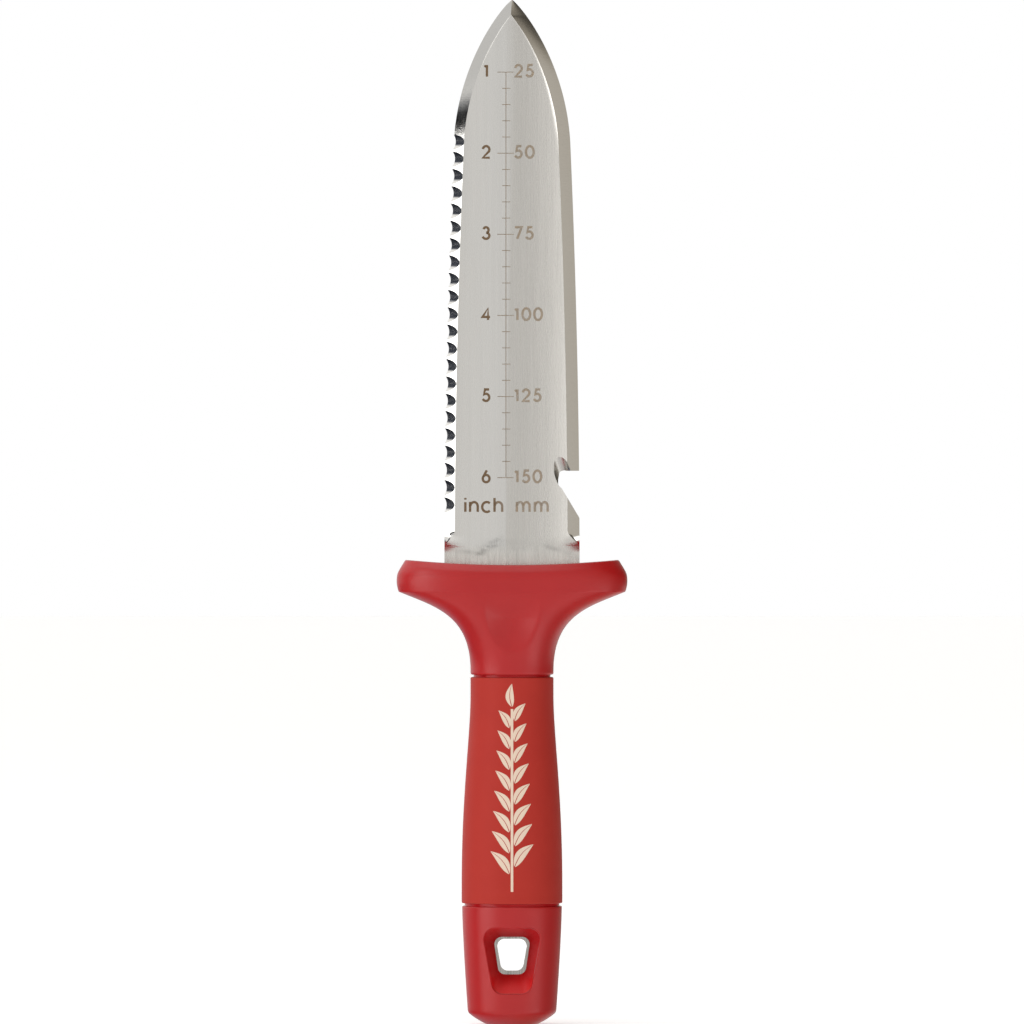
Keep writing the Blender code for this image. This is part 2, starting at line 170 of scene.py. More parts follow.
# Grip sleeve
SLEEVE_BOTTOM = SLEEVE_LOW.z
SLEEVE_TOP = SLEEVE_HIGH.z
SLEEVE_THICKNESS = 2.5 * MM
SLEEVE_WAIST = 13.0 * MM
SLEEVE_BELLY = SLEEVE_HIGH.x
SLEEVE_BELLY_DEPTH = SLEEVE_HIGH.y
SWELL_START = 103.0 * MM
SWELL_PULL_START = 91.0 * MM
SWELL_PULL_END = 72.0 * MM
SWELL_END = 44.0 * MM

# Hang hole: half widths at the top and bottom, then top and bottom heights
RECESS = mm(8.8, 6.3, 30.6, 10.0)
OPENING = mm(5.35, 4.35, 27.4, 16.0)
TANG_HOLE = mm(4.6, 3.65, 26.9, 16.9)
HOLE_CORNER = 2.3 * MM
MOUTH_ROUNDING = 0.4 * MM

# Rounding of moulded corners, gap between pieces, reach of the cutters and mesh density
NECK_LIP = 0.8 * MM
SLEEVE_LIP = 0.5 * MM
BUTT_LIP = 0.7 * MM
GAP = 0.05 * MM
CUT_HALF_DEPTH = 8.0 * MM
CUT_CLEARANCE = 5.0 * MM
RING_POINTS = 176
FACE_STRIPS = 32
ARC_STEPS = 9

# Scale on the blade
INCH = 25.4 * MM
SCALE_LINE_X = -1.9 * MM
SCALE_LINE_WIDTH = 0.22 * MM
SCALE_STROKE = 0.76 * MM
NUMERAL_HEIGHT = 3.65 * MM
NUMERAL_RAISE = 0.4 * MM
UNIT_HEIGHT = 4.35 * MM
SCALE_RAISE = 2.65 * MM
LONG_TICK = mm(-4.6, 0.6)
SHORT_TICK = mm(-3.1, -0.5)
INCH_NUMERAL_X = -8.1 * MM
MM_NUMERAL_X = 0.9 * MM
INCH_UNIT_X = -14.6 * MM
MM_UNIT_X = 1.5 * MM
UNIT_DROP = 10.7 * MM
MARK_PROUD = 0.02 * MM
MARK_SINK = 0.03 * MM

# Sprig printed on the grip. The pairs of leaves change evenly from the lowest pair to the highest
SPRIG_BOTTOM = 42.0 * MM
SPRIG_TOP = 99.0 * MM
SPRIG_STEM = 0.8 * MM
LEAF_PAIRS = 8
LEAF_SPAN = mm(47.5, 93.0)
LEAF_LENGTHS = mm(9.4, 6.6)
LEAF_HALF_WIDTHS = mm(1.55, 1.25)
LEAF_ANGLES = (40.0, 32.0)
LEAF_STAGGER = 2.2 * MM
LEAF_OFFSET = 0.75 * MM
TOP_LEAF = mm(7.4, 1.3)
VEIN_HALF_WIDTH = 0.13 * MM
LEAF_BEND = 0.10

# Steel colours, and painted dark reflections above the guard: start, end and half width in millimetres, then
# darkness
STEEL = (0.70, 0.683, 0.648)
WARM_STEEL = (0.70, 0.672, 0.622)
PAINTED_DARK_REFLECTIONS = (
    ((-11.0, 147.6), (-3.2, 151.8), 2.3, 0.30),
    ((9.8, 150.2), (20.4, 146.3), 1.3, 0.20),
    ((-18.0, 148.4), (-8.5, 147.4), 1.1, 0.14),
)
# Painted highlight: a lighter patch on the right above the guard, given as a negative darkness
PAINTED_LIGHT_PATCH = ((13.6, 150.6), (16.6, 152.0), 2.0, -0.07)

# Camera
LENS = 400.0
SENSOR = 36.0
FRAMED_SHARE = 0.999


# Curves and numbers


def bezier(start, pull_start, pull_end, end, t):
    """Return the point at t on a cubic curve through start and end."""
    s = 1.0 - t
    return tuple(
        a * s**3 + 3 * b * s**2 * t + 3 * c * s * t**2 + d * t**3
        for a, b, c, d in zip(start, pull_start, pull_end, end)
    )


def ease(low, high, value):
    """Rise smoothly from 0 at low to 1 at high."""
    t = min(1.0, max(0.0, (value - low) / (high - low)))
    return t * t * (3.0 - 2.0 * t)


def mix(a, b, t):
    return a + (b - a) * t


def spread(a, b, steps):
    """Evenly spaced values from a to b, both included."""
    return [mix(a, b, i / steps) for i in range(steps + 1)]


def between(start, end, t):
    """Point at t on the straight line from start to end."""
    return tuple(mix(a, b, t) for a, b in zip(start, end))


def divide(start, end, steps):
    """Points along a straight line, so that a long stroke follows the surface."""
    return [between(start, end, t) for t in spread(0.0, 1.0, steps)]


def arc(x, z, half_width, half_height, start, end, steps=14):
    """Points along part of an oval, with angles in degrees."""
    angles = spread(math.radians(start), math.radians(end), steps)
    return [(x + half_width * math.cos(a), z + half_height * math.sin(a)) for a in angles]


def circle(x, z, radius, points):
    """Points of a closed round outline, from half a step past the X axis."""
    step = 360 / points
    return arc(x, z, radius, radius, step / 2, 360 - step / 2, points - 1)


# Meshes


def skin(rings, loop=False, bm=None):
    """Join rings of equal length with quads. The ends are capped unless the rings close on themselves."""
    bm = bm or bmesh.new()
    rows = [[bm.verts.new(point) for point in ring] for ring in rings]
    pairs = list(zip(rows, rows[1:]))
    if loop:
        pairs.append((rows[-1], rows[0]))
    else:
        bm.faces.new(list(reversed(rows[0])))
        bm.faces.new(rows[-1])
    for low, high in pairs:
        for i in range(len(low)):
            j = (i + 1) % len(low)
            bm.faces.new((low[i], low[j], high[j], high[i]))
    return bm


def add_object(name, bm, *materials):
    """Make a closed mesh with its faces pointing out into a scene object."""
    bmesh.ops.recalc_face_normals(bm, faces=bm.faces[:])
    mesh = bpy.data.meshes.new(name)
    bm.to_mesh(mesh)
    bm.free()
    for material in materials:
        mesh.materials.append(material)
    obj = bpy.data.objects.new(name, mesh)
    bpy.context.scene.collection.objects.link(obj)
    return obj


def carve(target, cutters):
    """Subtract the cutters for good and throw them away."""
    for cutter in cutters:
        modifier = target.modifiers.new(cutter.name, "BOOLEAN")
        modifier.operation = "DIFFERENCE"
        modifier.solver = "EXACT"
        modifier.material_mode = "TRANSFER"
        modifier.object = cutter
    bpy.context.view_layer.update()
    shaped = target.evaluated_get(bpy.context.evaluated_depsgraph_get())
    mesh = bpy.data.meshes.new_from_object(shaped)
    target.modifiers.clear()
    target.data = mesh
    for cutter in cutters:
        bpy.data.objects.remove(cutter, do_unlink=True)


def smooth(obj, angle):
    """Shade smooth, with a crease at sharp angles and wherever two finishes meet."""
    mesh = obj.data
    bm = bmesh.new()
    bm.from_mesh(mesh)
    for edge in bm.edges:
        if len(edge.link_faces) == 2:
            one, two = edge.link_faces
            sharp = edge.calc_face_angle(0.0) > math.radians(angle)
            edge.smooth = not sharp and one.material_index == two.material_index
    for face in bm.faces:
        face.smooth = True
    bm.to_mesh(mesh)
    bm.free()


def attach(obj, slot, *nodes):
    """Fix a piece to the tool's one body and hide the model's parts that it stands for. The slot is not used.
    """
    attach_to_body(obj, "root")
    if nodes:
        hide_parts(*nodes)
    return obj


# Blade and tang


def dish_strength(z):
    """The sheet is flat at the shoulder and dished above it."""
    return ease(DISH_START, DISH_FULL, z)


def sheet_centre(x, z):
    """Y of the middle of the sheet: the hollow side faces -Y, so the sheet's edges stand forward."""
    return dish_strength(z) * (DISH_CENTRE - DISH_DEPTH * (x / BASE_HALF_WIDTH) ** 2)


def blade_face(x, z):
    """Y of the hollow face."""
    return sheet_centre(x, z) - SHEET / 2


def side_half_width(z):
    return BASE_HALF_WIDTH - SIDE_CURVE * (z - GUARD_TOP) ** 2


def point_station(t):
    """Half width, height and lean of the outline between the parallel sides and the point."""
    start = (side_half_width(POINT_START), POINT_START)
    curve = (start, POINT_PULL_START, POINT_PULL_END, (POINT_HALF_WIDTH, TOOL_LENGTH))
    step = 0.001
    here = bezier(*curve, t)
    ahead = bezier(*curve, t + step)
    behind = bezier(*curve, t - step)
    lean = math.atan2(behind[0] - ahead[0], ahead[1] - behind[1])
    return here[0], here[1], lean


def tang_stations(grow):
    """Half width and height up the tang and round its shoulder to the full blade width."""
    corner = TANG_CORNER
    fillet = TANG_FILLET
    narrow = TANG_HALF_WIDTH + grow
    wide = BASE_HALF_WIDTH + grow
    end = TANG_END - grow
    shoulder = TANG_SHOULDER - grow
    past_fillet = 45 / (ARC_STEPS - 0.5)
    stations = arc(narrow - corner, end + corner, corner, corner, -90, 0, ARC_STEPS - 1)
    stations += arc(narrow + fillet, shoulder - fillet, fillet, fillet, 180, 90, ARC_STEPS)[:-1]
    stations += arc(wide - corner, shoulder + corner, corner, corner, past_fillet - 90, 0, ARC_STEPS - 1)
    return stations


def burr_height(side, z):
    """The grinder leaves a raised hairline where face and bevel meet, longest on the right."""
    if side < 0:
        return BURR_HEIGHT * 0.8 * ease(*BURR_LEFT_RISE, z)
    return BURR_HEIGHT * ease(*BURR_RIGHT_RISE, z)


def bevel_points(edge_x, edge_y, inner_x, inner_y, z, depth):
    """Points across a bevel, which is ground very slightly convex, without its inner end."""
    points = []
    for t in spread(0.0, 1.0, BEVEL_STRIPS)[:-1]:
        crown = 4 * BEVEL_CROWN * t * (1 - t) * dish_strength(z)
        points.append((mix(edge_x, inner_x, t), mix(edge_y, inner_y, t * depth) - crown, z))
    return points


def sheet_ring(half_width, z, left, right, thickness, depth):
    """Ring of the sheet. Left and right are the bevels' insets, where the sheet has its inner thickness.

    Depth is the share of the sheet's thickness that a bevel climbs before the wall at its inner side.
    """
    inner_left = -half_width + left
    inner_right = half_width - right
    hairline = min(BURR_WIDTH, (inner_right - inner_left) / 3)
    across = spread(inner_left + hairline, inner_right - hairline, FACE_STRIPS)
    front = [(x, sheet_centre(x, z) + SHEET / 2 - thickness, z) for x in [inner_left, *across, inner_right]]
    ridge = ease(0.0, 6 * BURR_WIDTH, inner_right - inner_left)
    front[0] = (inner_left, front[0][1] - burr_height(-1, z) * ridge, z)
    front[-1] = (inner_right, front[-1][1] - burr_height(1, z) * ridge, z)
    edge_y = sheet_centre(half_width, z) + SHEET / 2 - EDGE_LAND
    ring = bevel_points(-half_width, edge_y, *front[0][:2], z, depth)
    ring += front
    ring += reversed(bevel_points(half_width, edge_y, *front[-1][:2], z, depth))
    ring += [(x, sheet_centre(x, z) + SHEET / 2, z) for x in spread(half_width, -half_width, FACE_STRIPS)]
    return ring


def ground_ring(half_width, z, lean):
    """Ring of the dished sheet with its two bevels. Near the point the bevels meet in a ridge."""
    plunge = ease(BEVEL_START, BEVEL_FULL, z)
    left = BEVEL_LEFT * plunge / math.cos(lean)
    right = BEVEL_RIGHT * plunge / math.cos(lean)
    share = min(1.0, 2 * half_width / max(left + right, 1e-9))
    return sheet_ring(half_width, z, left * share, right * share, mix(EDGE_LAND, SHEET, share), plunge)


def flat_ring(half_width, z):
    """Ring of the plain sheet, with as many points as a ground one."""
    return sheet_ring(half_width, z, 0.0, 0.0, SHEET, 0.0)


def blade_rings():
    rings = [flat_ring(x, z) for x, z in tang_stations(0.0)]
    rings += [flat_ring(side_half_width(z), z) for z in spread(GUARD_TOP, DISH_START, 4)[:-1]]
    rings += [ground_ring(side_half_width(z), z, 0.0) for z in spread(DISH_START, BEVEL_FULL, 30)]
    for z in spread(BEVEL_FULL, POINT_START, 80)[1:-1]:
        lean = math.atan(2 * SIDE_CURVE * (z - GUARD_TOP))
        rings.append(ground_ring(side_half_width(z), z, lean))
    for t in spread(0.0, 1.0, 90):
        half_width, z, lean = point_station(t)
        rings.append(ground_ring(half_width, z, lean))
    return rings


def gullet_depth(z):
    """How far the saw grind goes in from the edge at a height: arcs with a short land between them."""
    offset = ((z - LAST_TOOTH) % TOOTH_PITCH) - TOOTH_PITCH / 2
    reach = GULLET_RADIUS**2 - offset**2
    return math.sqrt(max(reach, 0.0)) - (GULLET_RADIUS - GULLET_DEPTH)


def saw_cutter(material):
    """One comb-shaped solid that grinds every gullet at a lean from the front."""
    half_chord = math.sqrt(GULLET_RADIUS**2 - (GULLET_RADIUS - GULLET_DEPTH) ** 2)
    grind = Vector((math.sin(GRIND_LEAN), -math.cos(GRIND_LEAN), 0.0))
    forward = grind * CUT_HALF_DEPTH
    behind = -grind * SHEET
    clear = Vector((-CUT_CLEARANCE, 0.0, 0.0))
    overrun = 1.2
    rings = []
    for gullet in range(GULLETS):
        centre = LAST_TOOTH + TOOTH_PITCH * (gullet + 0.5)
        for z in spread(centre - overrun * half_chord, centre + overrun * half_chord, 14):
            edge = -side_half_width(z)
            y = sheet_centre(edge, z) + SHEET / 2
            inner = Vector((edge + gullet_depth(z), y, z))
            corners = (inner + behind, inner + forward, inner + forward + clear, inner + behind + clear)
            rings.append([tuple(corner) for corner in corners])
    return add_object("saw_cutter", skin(rings), material)


def notch_outline():
    """Hook-shaped notch: a level upper lip, a rounded corner and a long slope back to the edge."""
    outside = BASE_HALF_WIDTH + CUT_CLEARANCE
    floor_bottom = NOTCH_TOP - NOTCH_FLOOR_LENGTH
    slope = (floor_bottom - NOTCH_BOTTOM) / (BASE_HALF_WIDTH - NOTCH_FLOOR_X)
    corner_x = NOTCH_FLOOR_X + NOTCH_CORNER
    points = [(outside, NOTCH_TOP)]
    points += arc(corner_x, NOTCH_TOP - NOTCH_CORNER, NOTCH_CORNER, NOTCH_CORNER, 90, 180, ARC_STEPS - 1)
    points.append((NOTCH_FLOOR_X, floor_bottom))
    points.append((outside, floor_bottom - slope * (outside - NOTCH_FLOOR_X)))
    return points


def through_cutter(name, outline, material, half_depth=CUT_HALF_DEPTH):
    """Straight cutter along Y with an outline of X and Z."""
    rings = [[(x, y, z) for x, z in outline] for y in (-half_depth, half_depth)]
    return add_object(name, skin(rings), material)


def hook_cutter(material):
    """Slanting round bar that hollows the sheet above the notch and leaves the hook's edge."""
    front = Vector((HOOK_GRIND_FRONT[0], blade_face(*HOOK_GRIND_FRONT), HOOK_GRIND_FRONT[1]))
    back = Vector((HOOK_GRIND_BACK[0], blade_face(*HOOK_GRIND_BACK) + SHEET, HOOK_GRIND_BACK[1]))
    axis = (back - front).normalized()
    side = axis.cross(Vector((0.0, 1.0, 0.0))).normalized()
    other = axis.cross(side)
    outline = circle(0.0, 0.0, HOOK_GRIND_RADIUS, 64)
    rings = []
    for reach in (-3.0, 2.0):
        middle = front + (back - front) * reach
        rings.append([middle + side * across + other * along for across, along in outline])
    return add_object("hook_cutter", skin(rings), material)


def rounded_trapezoid(half_top, half_bottom, top, bottom, corner, side_steps=1):
    """Outline of X and Z with its four corners rounded by arcs and its sides divided."""
    slope = math.degrees(math.atan2(half_top - half_bottom, top - bottom))
    quarters = (
        (half_top - corner, top - corner, -slope, 90),
        (-half_top + corner, top - corner, 90, 180 + slope),
        (-half_bottom + corner, bottom + corner, 180 + slope, 270),
        (half_bottom - corner, bottom + corner, 270, 360 - slope),
    )
    arcs = [arc(x, z, corner, corner, start, end, ARC_STEPS - 1) for x, z, start, end in quarters]
    outline = []
    for points, following in zip(arcs, arcs[1:] + arcs[:1]):
        outline += points
        outline += divide(points[-1], following[0], side_steps)[1:-1]
    return outline


def make_blade(face, bevel, gullet, cut_edge):
    """Blade and full tang in one sheet of stainless steel."""
    rings = blade_rings()
    bm = skin(rings)
    mark_bevels(bm, rings)
    bmesh.ops.remove_doubles(bm, verts=bm.verts[:], dist=1e-6)
    blade = add_object("blade_steel", bm, face, bevel)
    cutters = [
        saw_cutter(gullet),
        through_cutter("notch_cutter", notch_outline(), cut_edge),
        hook_cutter(cut_edge),
        through_cutter("hang_cutter", rounded_trapezoid(*TANG_HOLE, HOLE_CORNER), cut_edge),
    ]
    for number, z in enumerate(LOCK_HOLE_HEIGHTS, 1):
        outline = circle(0.0, z, LOCK_HOLE_RADIUS, 36)
        cutters.append(through_cutter(f"lock_cutter_{number}", outline, cut_edge))
    carve(blade, cutters)
    smooth(blade, 24)
    return attach(blade, "steel", "blade")


def mark_bevels(bm, rings):
    """Give the second finish to the strips that lie across the bevels."""
    bm.faces.ensure_lookup_table()
    count = len(rings[0])
    caps = 2
    right_start = BEVEL_STRIPS + FACE_STRIPS + 2
    for row, ring in enumerate(rings[:-1]):
        if ring[0][2] < BEVEL_START:
            continue
        for column in range(BEVEL_STRIPS):
            bm.faces[caps + row * count + column].material_index = 1
            bm.faces[caps + row * count + right_start + column].material_index = 1


# Handle body and grip sleeve


def oval(half_width, half_depth, z, power, saddle=0.0):
    """Closed ring of a rounded, squarish oval. The saddle lifts the ring's ends in X."""
    ring = []
    for i in range(RING_POINTS):
        angle = 2 * math.pi * i / RING_POINTS
        c = math.cos(angle)
        s = math.sin(angle)
        reach = (abs(c / half_width) ** power + abs(s / half_depth) ** power) ** (-1 / power)
        x = reach * c
        ring.append((x, reach * s, z + saddle * (x / GUARD_HALF_WIDTH) ** 2))
    return ring


def oval_depth(x, half_width, half_depth, power):
    """How far the oval's skin stands from the middle plane at x."""
    return half_depth * max(0.0, 1.0 - abs(x / half_width) ** power) ** (1 / power)


def station(half_width, half_depth, z, power=NECK_SQUARENESS, saddle=0.0, rounding=0.0):
    """One level of a moulded profile, and how far it is rounded where the profile turns there."""
    return (half_width, half_depth, z, power, saddle), rounding


def grip_half_width(z):
    """The grip is slim behind the neck and swells towards the butt."""
    if z >= SWELL_START:
        return SLEEVE_WAIST
    if z <= SWELL_END:
        return SLEEVE_BELLY
    waist = [(SLEEVE_WAIST, SWELL_START), (SLEEVE_WAIST, SWELL_PULL_START)]
    belly = [(SLEEVE_BELLY, SWELL_PULL_END), (SLEEVE_BELLY, SWELL_END)]
    curve = waist + belly
    t_low, t_high = 0.0, 1.0
    for _ in range(30):
        t = (t_low + t_high) / 2
        if bezier(*curve, t)[1] > z:
            t_low = t
        else:
            t_high = t
    return bezier(*curve, t)[0]


def grip_half_depth(z):
    swell = (grip_half_width(z) - SLEEVE_WAIST) / (SLEEVE_BELLY - SLEEVE_WAIST)
    return mix(NECK_HALF_DEPTH, SLEEVE_BELLY_DEPTH, swell)


def grip_station(z, inset=0.0, rounding=0.0):
    """Level of the grip, drawn in by an inset."""
    return station(grip_half_width(z) - inset, grip_half_depth(z) - inset, z, rounding=rounding)


def grip_skin(x, z):
    """Y of the front of the grip."""
    return -oval_depth(x, grip_half_width(z), grip_half_depth(z), NECK_SQUARENESS)


def butt_section(z):
    """Half width and half depth of the tapering butt."""
    taper = BUTT_TAPER * max(0.0, (BUTT_TOP - z) / (BUTT_TOP - BUTT_CORNER)) ** BUTT_TAPER_POWER
    return BUTT_HALF_WIDTH - taper, BUTT_HALF_DEPTH - taper


def butt_station(z, rounding=0.0):
    return station(*butt_section(z), z, rounding=rounding)


def blend_corner(before, corner, after, reach, steps=6):
    """Round a corner of the profile with a curve that starts and ends within reach of it."""
    start = between(corner, before, min(0.48, reach / math.dist(corner[:3], before[:3])))
    end = between(corner, after, min(0.48, reach / math.dist(corner[:3], after[:3])))
    points = []
    for t in spread(0.0, 1.0, steps):
        s = 1.0 - t
        points.append(tuple(a * s * s + 2 * b * s * t + c * t * t for a, b, c in zip(start, corner, end)))
    return points


def round_profile(stations):
    """Round the stations that ask for it and return the levels."""
    points = [stations[0][0]]
    for (before, _), (corner, reach), (after, _) in zip(stations, stations[1:], stations[2:]):
        if reach:
            points += blend_corner(before, corner, after, reach)
        else:
            points.append(corner)
    points.append(stations[-1][0])
    return points


def butt_stations():
    """Flat end, domed corner and tapering side up to the lip of the lower groove."""
    half_width, half_depth = BUTT_FACE
    stations = [
        station(half_width / 2, half_depth / 2, 0.0),
        station(half_width, half_depth, 0.0, rounding=BUTT_FACE_ROUNDING),
    ]
    for t in spread(0.0, 1.0, 8)[2:-2]:
        swell = t + BUTT_BULGE * t * (1 - t)
        stations.append(station(*between(BUTT_FACE, butt_section(BUTT_CORNER), swell), BUTT_CORNER * t))
    stations.append(butt_station(BUTT_CORNER, BUTT_ROUNDING))
    stations += [butt_station(z) for z in spread(BUTT_CORNER, BUTT_TOP, 34)[2:-1]]
    stations.append(butt_station(BUTT_TOP, BUTT_LIP))
    return stations


def core_stations():
    """Lower groove floor, the core that the sleeve hides, and the upper groove floor."""
    bottom = SLEEVE_BOTTOM - GAP
    top = SLEEVE_TOP + GAP
    hidden = SLEEVE_THICKNESS + GAP
    return [
        grip_station(BUTT_TOP, GROOVE_DEPTH, GROOVE_ROUNDING),
        grip_station(bottom, GROOVE_DEPTH),
        *[grip_station(z, hidden) for z in spread(bottom, top, 16)],
        grip_station(top, GROOVE_DEPTH),
        grip_station(NECK_END, GROOVE_DEPTH, GROOVE_ROUNDING),
    ]


def flare_stations():
    """Neck that flares up into the wings of the guard."""
    stations = [station(NECK_HALF_WIDTH, NECK_HALF_DEPTH, NECK_END, rounding=NECK_LIP)]
    start = (NECK_HALF_WIDTH, FLARE_START)
    end = (GUARD_HALF_WIDTH - WING_INSET, GUARD_UNDERSIDE)
    for t in spread(0.0, 1.0, 64)[1:]:
        half_width, z = bezier(start, FLARE_PULL_START, FLARE_PULL_END, end, t)
        rise = ease(NECK_END, GUARD_UNDERSIDE, z)
        half_depth = mix(NECK_HALF_DEPTH, GUARD_HALF_DEPTH, rise)
        power = mix(NECK_SQUARENESS, GUARD_SQUARENESS, rise)
        stations.append(station(half_width, half_depth, z, power))
    corner, _ = stations.pop()
    stations.append((corner, GUARD_EDGE_ROUNDING))
    return stations


def guard_stations():
    """Edge band, top chamfer and saddle-shaped top of the guard, which ends inside the blade's slot."""
    band_bottom = GUARD_UNDERSIDE
    band_top = GUARD_TOP - GUARD_CHAMFER
    # Inset in width and depth, height, share of the saddle and reach of the rounding, in millimetres
    table = (
        (0.0, 0.0, mix(band_bottom, band_top, 0.40) / MM, 0.2, 1.0),
        (0.2, 0.0, mix(band_bottom, band_top, 0.75) / MM, 0.6, 0.9),
        (1.4, 0.3, band_top / MM, 1.0, 0.9),
        (2.8, 2.0, GUARD_TOP / MM, 1.0, 0.7),
    )
    stations = []
    for width_inset, depth_inset, z, share, reach in table:
        half_width = GUARD_HALF_WIDTH - width_inset * MM
        half_depth = GUARD_HALF_DEPTH - depth_inset * MM
        saddle = share * GUARD_SADDLE
        stations.append(station(half_width, half_depth, z * MM, GUARD_SQUARENESS, saddle, reach * MM))
    outer = stations[-1][0]
    inner = (*GUARD_SLOT, GUARD_TOP, 2.0, GUARD_SADDLE)
    stations += [(level, 0.0) for level in divide(outer, inner, 20)[1:]]
    return stations


def scoop_depth(x, z):
    """Depth of the thumb scoop: a rounded hollow with a soft edge, which fades out upwards."""
    drop = max(0.0, (SCOOP_WIDEST - z) / (SCOOP_WIDEST - SCOOP_BOTTOM))
    level = 1.0 - (x / SCOOP_HALF_WIDTH) ** 2 - drop**2
    hollow = (level + math.sqrt(level**2 + SCOOP_EDGE**2)) / 2
    fade = 1.0 - ease(mix(SCOOP_BOTTOM, SCOOP_WIDEST, SCOOP_FADE), SCOOP_TOP, z)
    return SCOOP_DEPTH * hollow * fade


def press_scoop(ring):
    """Press the thumb scoops into both sides of the neck."""
    return [(x, y - math.copysign(scoop_depth(x, z), y), z) for x, y, z in ring]


def tang_pocket_cutter():
    """The tang and shoulder with a hair of clearance, run out through the top of the guard."""
    half = SHEET / 2 + GAP
    outline = tang_stations(GAP)
    outline.append((BASE_HALF_WIDTH + GAP, GUARD_TOP + CUT_CLEARANCE))
    outline += [(-x, z) for x, z in reversed(outline)]
    return through_cutter("pocket_cutter", outline, None, half)


def recess_cutter(name, side):
    """Funnel from the tang out to the skin of the butt, with a rounded mouth, on one side."""
    side_steps = 10
    rings = []
    floor = rounded_trapezoid(*OPENING, HOLE_CORNER, side_steps)
    rings.append([(x, side * SHEET / 3, z) for x, z in floor])

    def mouth(grow, depth):
        half_top, half_bottom, top, bottom = RECESS
        shape = (half_top + grow, half_bottom + grow, top + grow, bottom - grow)
        ring = []
        for x, z in rounded_trapezoid(*shape, 1.5 * HOLE_CORNER + grow, side_steps):
            half_width, half_depth = butt_section(z)
            ring.append((x, side * (oval_depth(x, half_width, half_depth, NECK_SQUARENESS) - depth), z))
        return ring

    for angle in spread(0.0, math.radians(78), 6):
        grow = MOUTH_ROUNDING * (1 - math.cos(angle))
        rings.append(mouth(grow, MOUTH_ROUNDING * (1 - math.sin(angle))))
    rings.append(mouth(grow, -2.0 * MM))
    return add_object(name, skin(rings), None)


def make_handle(material):
    """Guard, neck, hidden core and butt, moulded in one piece round the tang."""
    profile = round_profile(butt_stations() + core_stations() + flare_stations() + guard_stations())
    rings = []
    for half_width, half_depth, z, power, saddle in profile:
        ring = oval(half_width, half_depth, z, power, saddle)
        if z > NECK_END + NECK_LIP and saddle == 0.0:
            ring = press_scoop(ring)
        rings.append(ring)
    handle = add_object("handle_moulding", skin(rings), material)
    carve(handle, [tang_pocket_cutter(), recess_cutter("recess_front", -1), recess_cutter("recess_back", 1)])
    smooth(handle, 32)
    return attach(handle, "hard_plastic", "handle_body")


def make_grip(material):
    """Soft tube round the core, with rounded ends."""
    stations = [
        grip_station(SLEEVE_BOTTOM, SLEEVE_THICKNESS),
        grip_station(SLEEVE_BOTTOM, 0.0, SLEEVE_LIP),
        *[grip_station(z) for z in spread(SLEEVE_BOTTOM, SLEEVE_TOP, 90)[2:-2]],
        grip_station(SLEEVE_TOP, 0.0, SLEEVE_LIP),
        *[grip_station(z, SLEEVE_THICKNESS) for z in spread(SLEEVE_TOP, SLEEVE_BOTTOM, 16)[:-1]],
    ]
    rings = [oval(*level) for level in round_profile(stations)]
    grip = add_object("soft_grip", skin(rings, loop=True), material)
    smooth(grip, 40)
    return attach(grip, "soft_grip", "grip_sleeve")


# Marks that lie on a surface


def slab(bm, rows, surface, closed=False):
    """Thin closed patch on a surface. Each row is a list of (x, z) and the rows run along the patch."""
    rings = []
    for row in rows:
        front = [(x, surface(x, z) - MARK_PROUD, z) for x, z in row]
        back = [(x, surface(x, z) + MARK_SINK, z) for x, z in reversed(row)]
        rings.append(front + back)
    skin(rings, closed, bm)


def ribbon(bm, points, width, surface, closed=False):
    """Stroke of even width along a line of points, mitred at its corners."""
    rows = []
    count = len(points)
    for i, (x, z) in enumerate(points):
        before = points[i - 1] if i or closed else None
        after = points[(i + 1) % count] if i < count - 1 or closed else None
        normals = []
        for start, end in ((before, (x, z)), ((x, z), after)):
            if start and end:
                length = math.dist(start, end)
                normals.append((-(end[1] - start[1]) / length, (end[0] - start[0]) / length))
        nx = sum(n[0] for n in normals) / len(normals)
        nz = sum(n[1] for n in normals) / len(normals)
        scale = width / 2 / max(0.25, nx * nx + nz * nz)
        rows.append([(x + nx * scale, z + nz * scale), (x - nx * scale, z - nz * scale)])
    slab(bm, rows, surface, closed)


def arch(left, right):
    """The arch of an n, h or m, down to the baseline."""
    half = (right - left) / 2
    return arc(left + half, 0.40, half, 0.30, 172, 0) + [(right, 0.0)]


